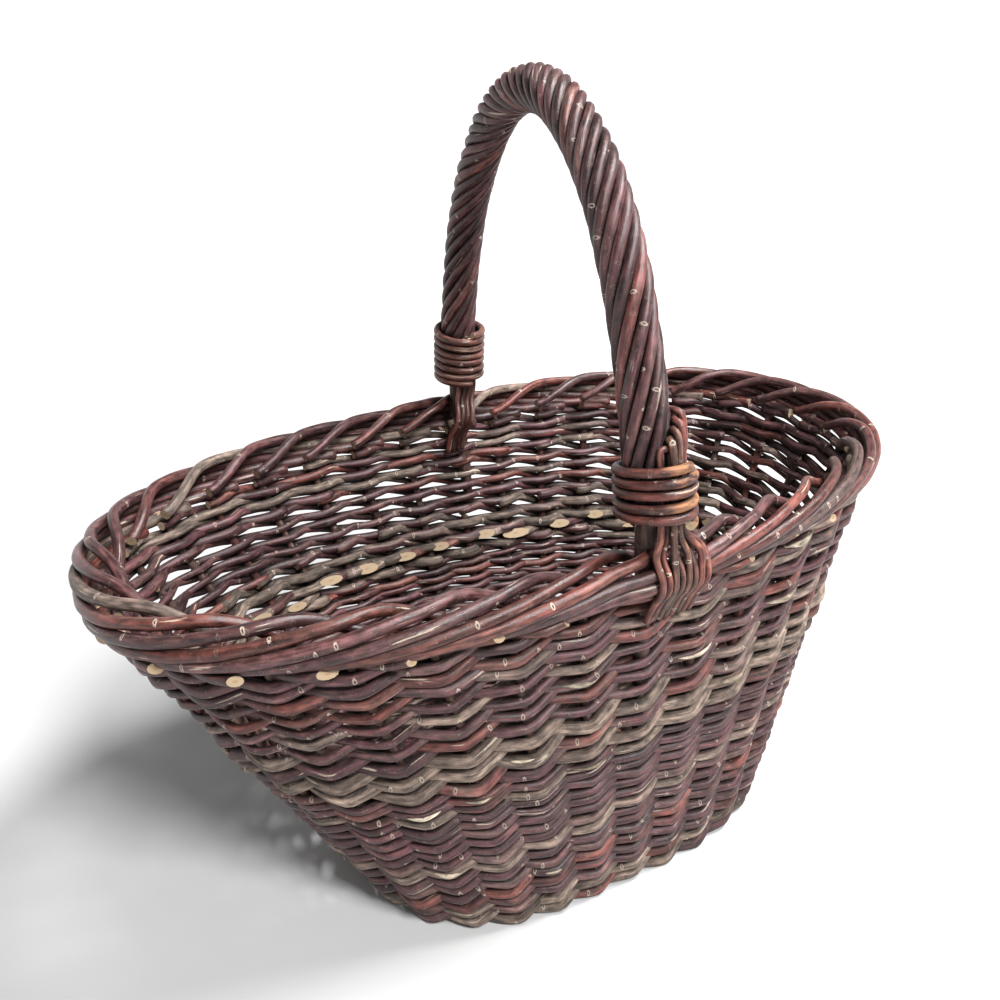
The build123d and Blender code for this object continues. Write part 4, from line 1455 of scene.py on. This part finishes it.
class Studio:
    """Camera, soft lights and a pale floor that runs up behind the basket."""

    TARGET = (-10.446, 2.9, 206.185)
    DISTANCE = 531.716
    AZIMUTH = -28.523
    ELEVATION = 23.904
    ROLL = -1.231
    FOCAL_SHARE = 0.90244
    SENSOR_MM = 36.0
    FLOOR_SIZE = 14.0
    FLOOR_CUTS = 60
    FLAT_RADIUS = 2.0
    SWEEP = 0.09
    FLOOR_TONE = 0.5
    GLOW_RADII: Pair = (0.5, 1.6)
    GLOW = 0.95
    WORLD_STRENGTH = 0.1
    FLOOR_ROUGHNESS = 0.9
    FLOOR_SHINE = 0.1
    CLIP_START = 0.01
    LAMP_TARGET = (0.0, 0.0, 0.2)
    LAMPS = (
        ("key", (0.8, -0.4, 1.9), 0.6, 70.0),
        ("fill", (0.1, -1.7, 2.1), 0.7, 94.0),
        ("back", (-0.6, 2.0, 2.0), 1.6, 8.0),
    )

    def camera(self) -> None:
        """Put the camera at the photograph's viewpoint."""
        azimuth = math.radians(self.AZIMUTH)
        elevation = math.radians(self.ELEVATION)
        level = math.cos(elevation)
        back = Vector((math.sin(azimuth) * level, -math.cos(azimuth) * level, math.sin(elevation)))
        right = (-back).cross(Vector((0.0, 0.0, 1.0))).normalized()
        up = right.cross(-back)
        roll = math.radians(self.ROLL)
        c, s = math.cos(roll), math.sin(roll)
        right, up = right * c + up * s, up * c - right * s
        data = bpy.data.cameras.new("camera")
        data.sensor_width = self.SENSOR_MM
        data.lens = self.SENSOR_MM * self.FOCAL_SHARE
        data.clip_start = self.CLIP_START
        made = bpy.data.objects.new("camera", data)
        bpy.context.collection.objects.link(made)
        place = (Vector(self.TARGET) + back * self.DISTANCE) * MM
        turn = Matrix((right, up, back)).transposed().to_4x4()
        made.matrix_world = Matrix.Translation(place) @ turn
        bpy.context.scene.camera = made

    def floor(self) -> None:
        """Lay the floor and sweep it up into a backdrop."""
        bpy.ops.object.select_all(action="DESELECT")
        bpy.ops.mesh.primitive_plane_add(size=self.FLOOR_SIZE, location=(0.0, 0.0, 0.0))
        bpy.ops.object.mode_set(mode="EDIT")
        bpy.ops.mesh.subdivide(number_cuts=self.FLOOR_CUTS)
        bpy.ops.object.mode_set(mode="OBJECT")
        floor = bpy.context.object
        for corner in floor.data.vertices:
            away = max(0.0, corner.co.xy.length - self.FLAT_RADIUS)
            corner.co.z = self.SWEEP * away ** 2
        floor.name = "studio_floor"
        material = bpy.data.materials.new("studio_floor")
        material.use_nodes = True
        n = Nodes(material.node_tree)
        place = n.node("ShaderNodeTexCoord").outputs["Object"]
        away = n.node("ShaderNodeVectorMath", {0: place}, operation="LENGTH").outputs["Value"]
        glow = n.times(n.span(away, *self.GLOW_RADII), self.GLOW)
        tone = (self.FLOOR_TONE, self.FLOOR_TONE, self.FLOOR_TONE, 1.0)
        shader = n.node("ShaderNodeBsdfPrincipled", {
            "Base Color": tone, "Roughness": self.FLOOR_ROUGHNESS, "Specular IOR Level": self.FLOOR_SHINE,
            "Emission Color": WHITE, "Emission Strength": glow})
        n.node("ShaderNodeOutputMaterial", {0: shader.outputs[0]})
        floor.data.materials.append(material)

    def light(self, name: str, place: Colour, size: float, power: float) -> None:
        """Hang one soft lamp that points at the basket.

        Args:
            name: Name of the lamp.
            place: Where it hangs, in metres.
            size: Its width in metres.
            power: Its power in watts.
        """
        data = bpy.data.lights.new(name, "AREA")
        data.shape = "DISK"
        data.size = size
        data.energy = power
        made = bpy.data.objects.new(name, data)
        bpy.context.collection.objects.link(made)
        towards = Vector(self.LAMP_TARGET) - Vector(place)
        turn = towards.to_track_quat("-Z", "Y").to_matrix().to_4x4()
        made.matrix_world = Matrix.Translation(place) @ turn

    def build(self) -> None:
        """Set up the whole studio."""
        self.camera()
        self.floor()
        for name, place, size, power in self.LAMPS:
            self.light(name, place, size, power)
        world = bpy.data.worlds.new("studio")
        world.use_nodes = True
        n = Nodes(world.node_tree)
        shader = n.node("ShaderNodeBackground", {"Color": WHITE, "Strength": self.WORLD_STRENGTH})
        n.node("ShaderNodeOutputWorld", {0: shader.outputs[0]})
        bpy.context.scene.world = world
        bpy.context.scene.view_settings.view_transform = "Standard"


def main() -> None:
    """Dress the basket and set up the studio."""
    logging.basicConfig(level=logging.INFO, format="%(name)s %(message)s")
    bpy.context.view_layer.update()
    finishes = Finishes()
    grey, brown = Slot.GREY_BARK, Slot.BROWN_BARK
    bands = (
        RandedBand("bottom_wale", grey, 101, 4.0, 2, (8.0, 8.0), (6.6, 6.2), press=0.55),
        RandedBand("lower_siding", brown, 102, 20.5, 13, (8.3, 6.0), (6.0, 4.7)),
        RandedBand("middle_wale", grey, 103, 116.5, 3, (10.2, 9.6), (7.0, 6.4)),
        RandedBand("upper_siding", brown, 104, 147.5, 4, (8.8, 8.6), (5.5, 4.9), thin_share=0.22),
        RandedBand("top_wale", brown, 105, 184.0, 3, (7.4, 7.0), (6.0, 5.2)),
    )
    for band in bands:
        band.build(finishes)
    levels = np.concatenate([band.levels()[:-1] for band in bands[1:]])
    SideStakes().build(finishes)
    border = RolledBorder()
    border.build(finishes)
    border.cut_ends(finishes)
    handle = Handle()
    handle.bow(finishes)
    handle.roping(finishes)
    handle.foot_rods(finishes)
    handle.binding(finishes, near=True)
    handle.binding(finishes, near=False)
    floor = WovenFloor()
    floor.sticks(finishes)
    floor.weave(finishes)
    ends = RodEnds()
    ends.inner_ends(finishes)
    ends.splinters(finishes, levels)
    Studio().build()
    bpy.context.view_layer.update()


if __name__ == "__main__":
    main()
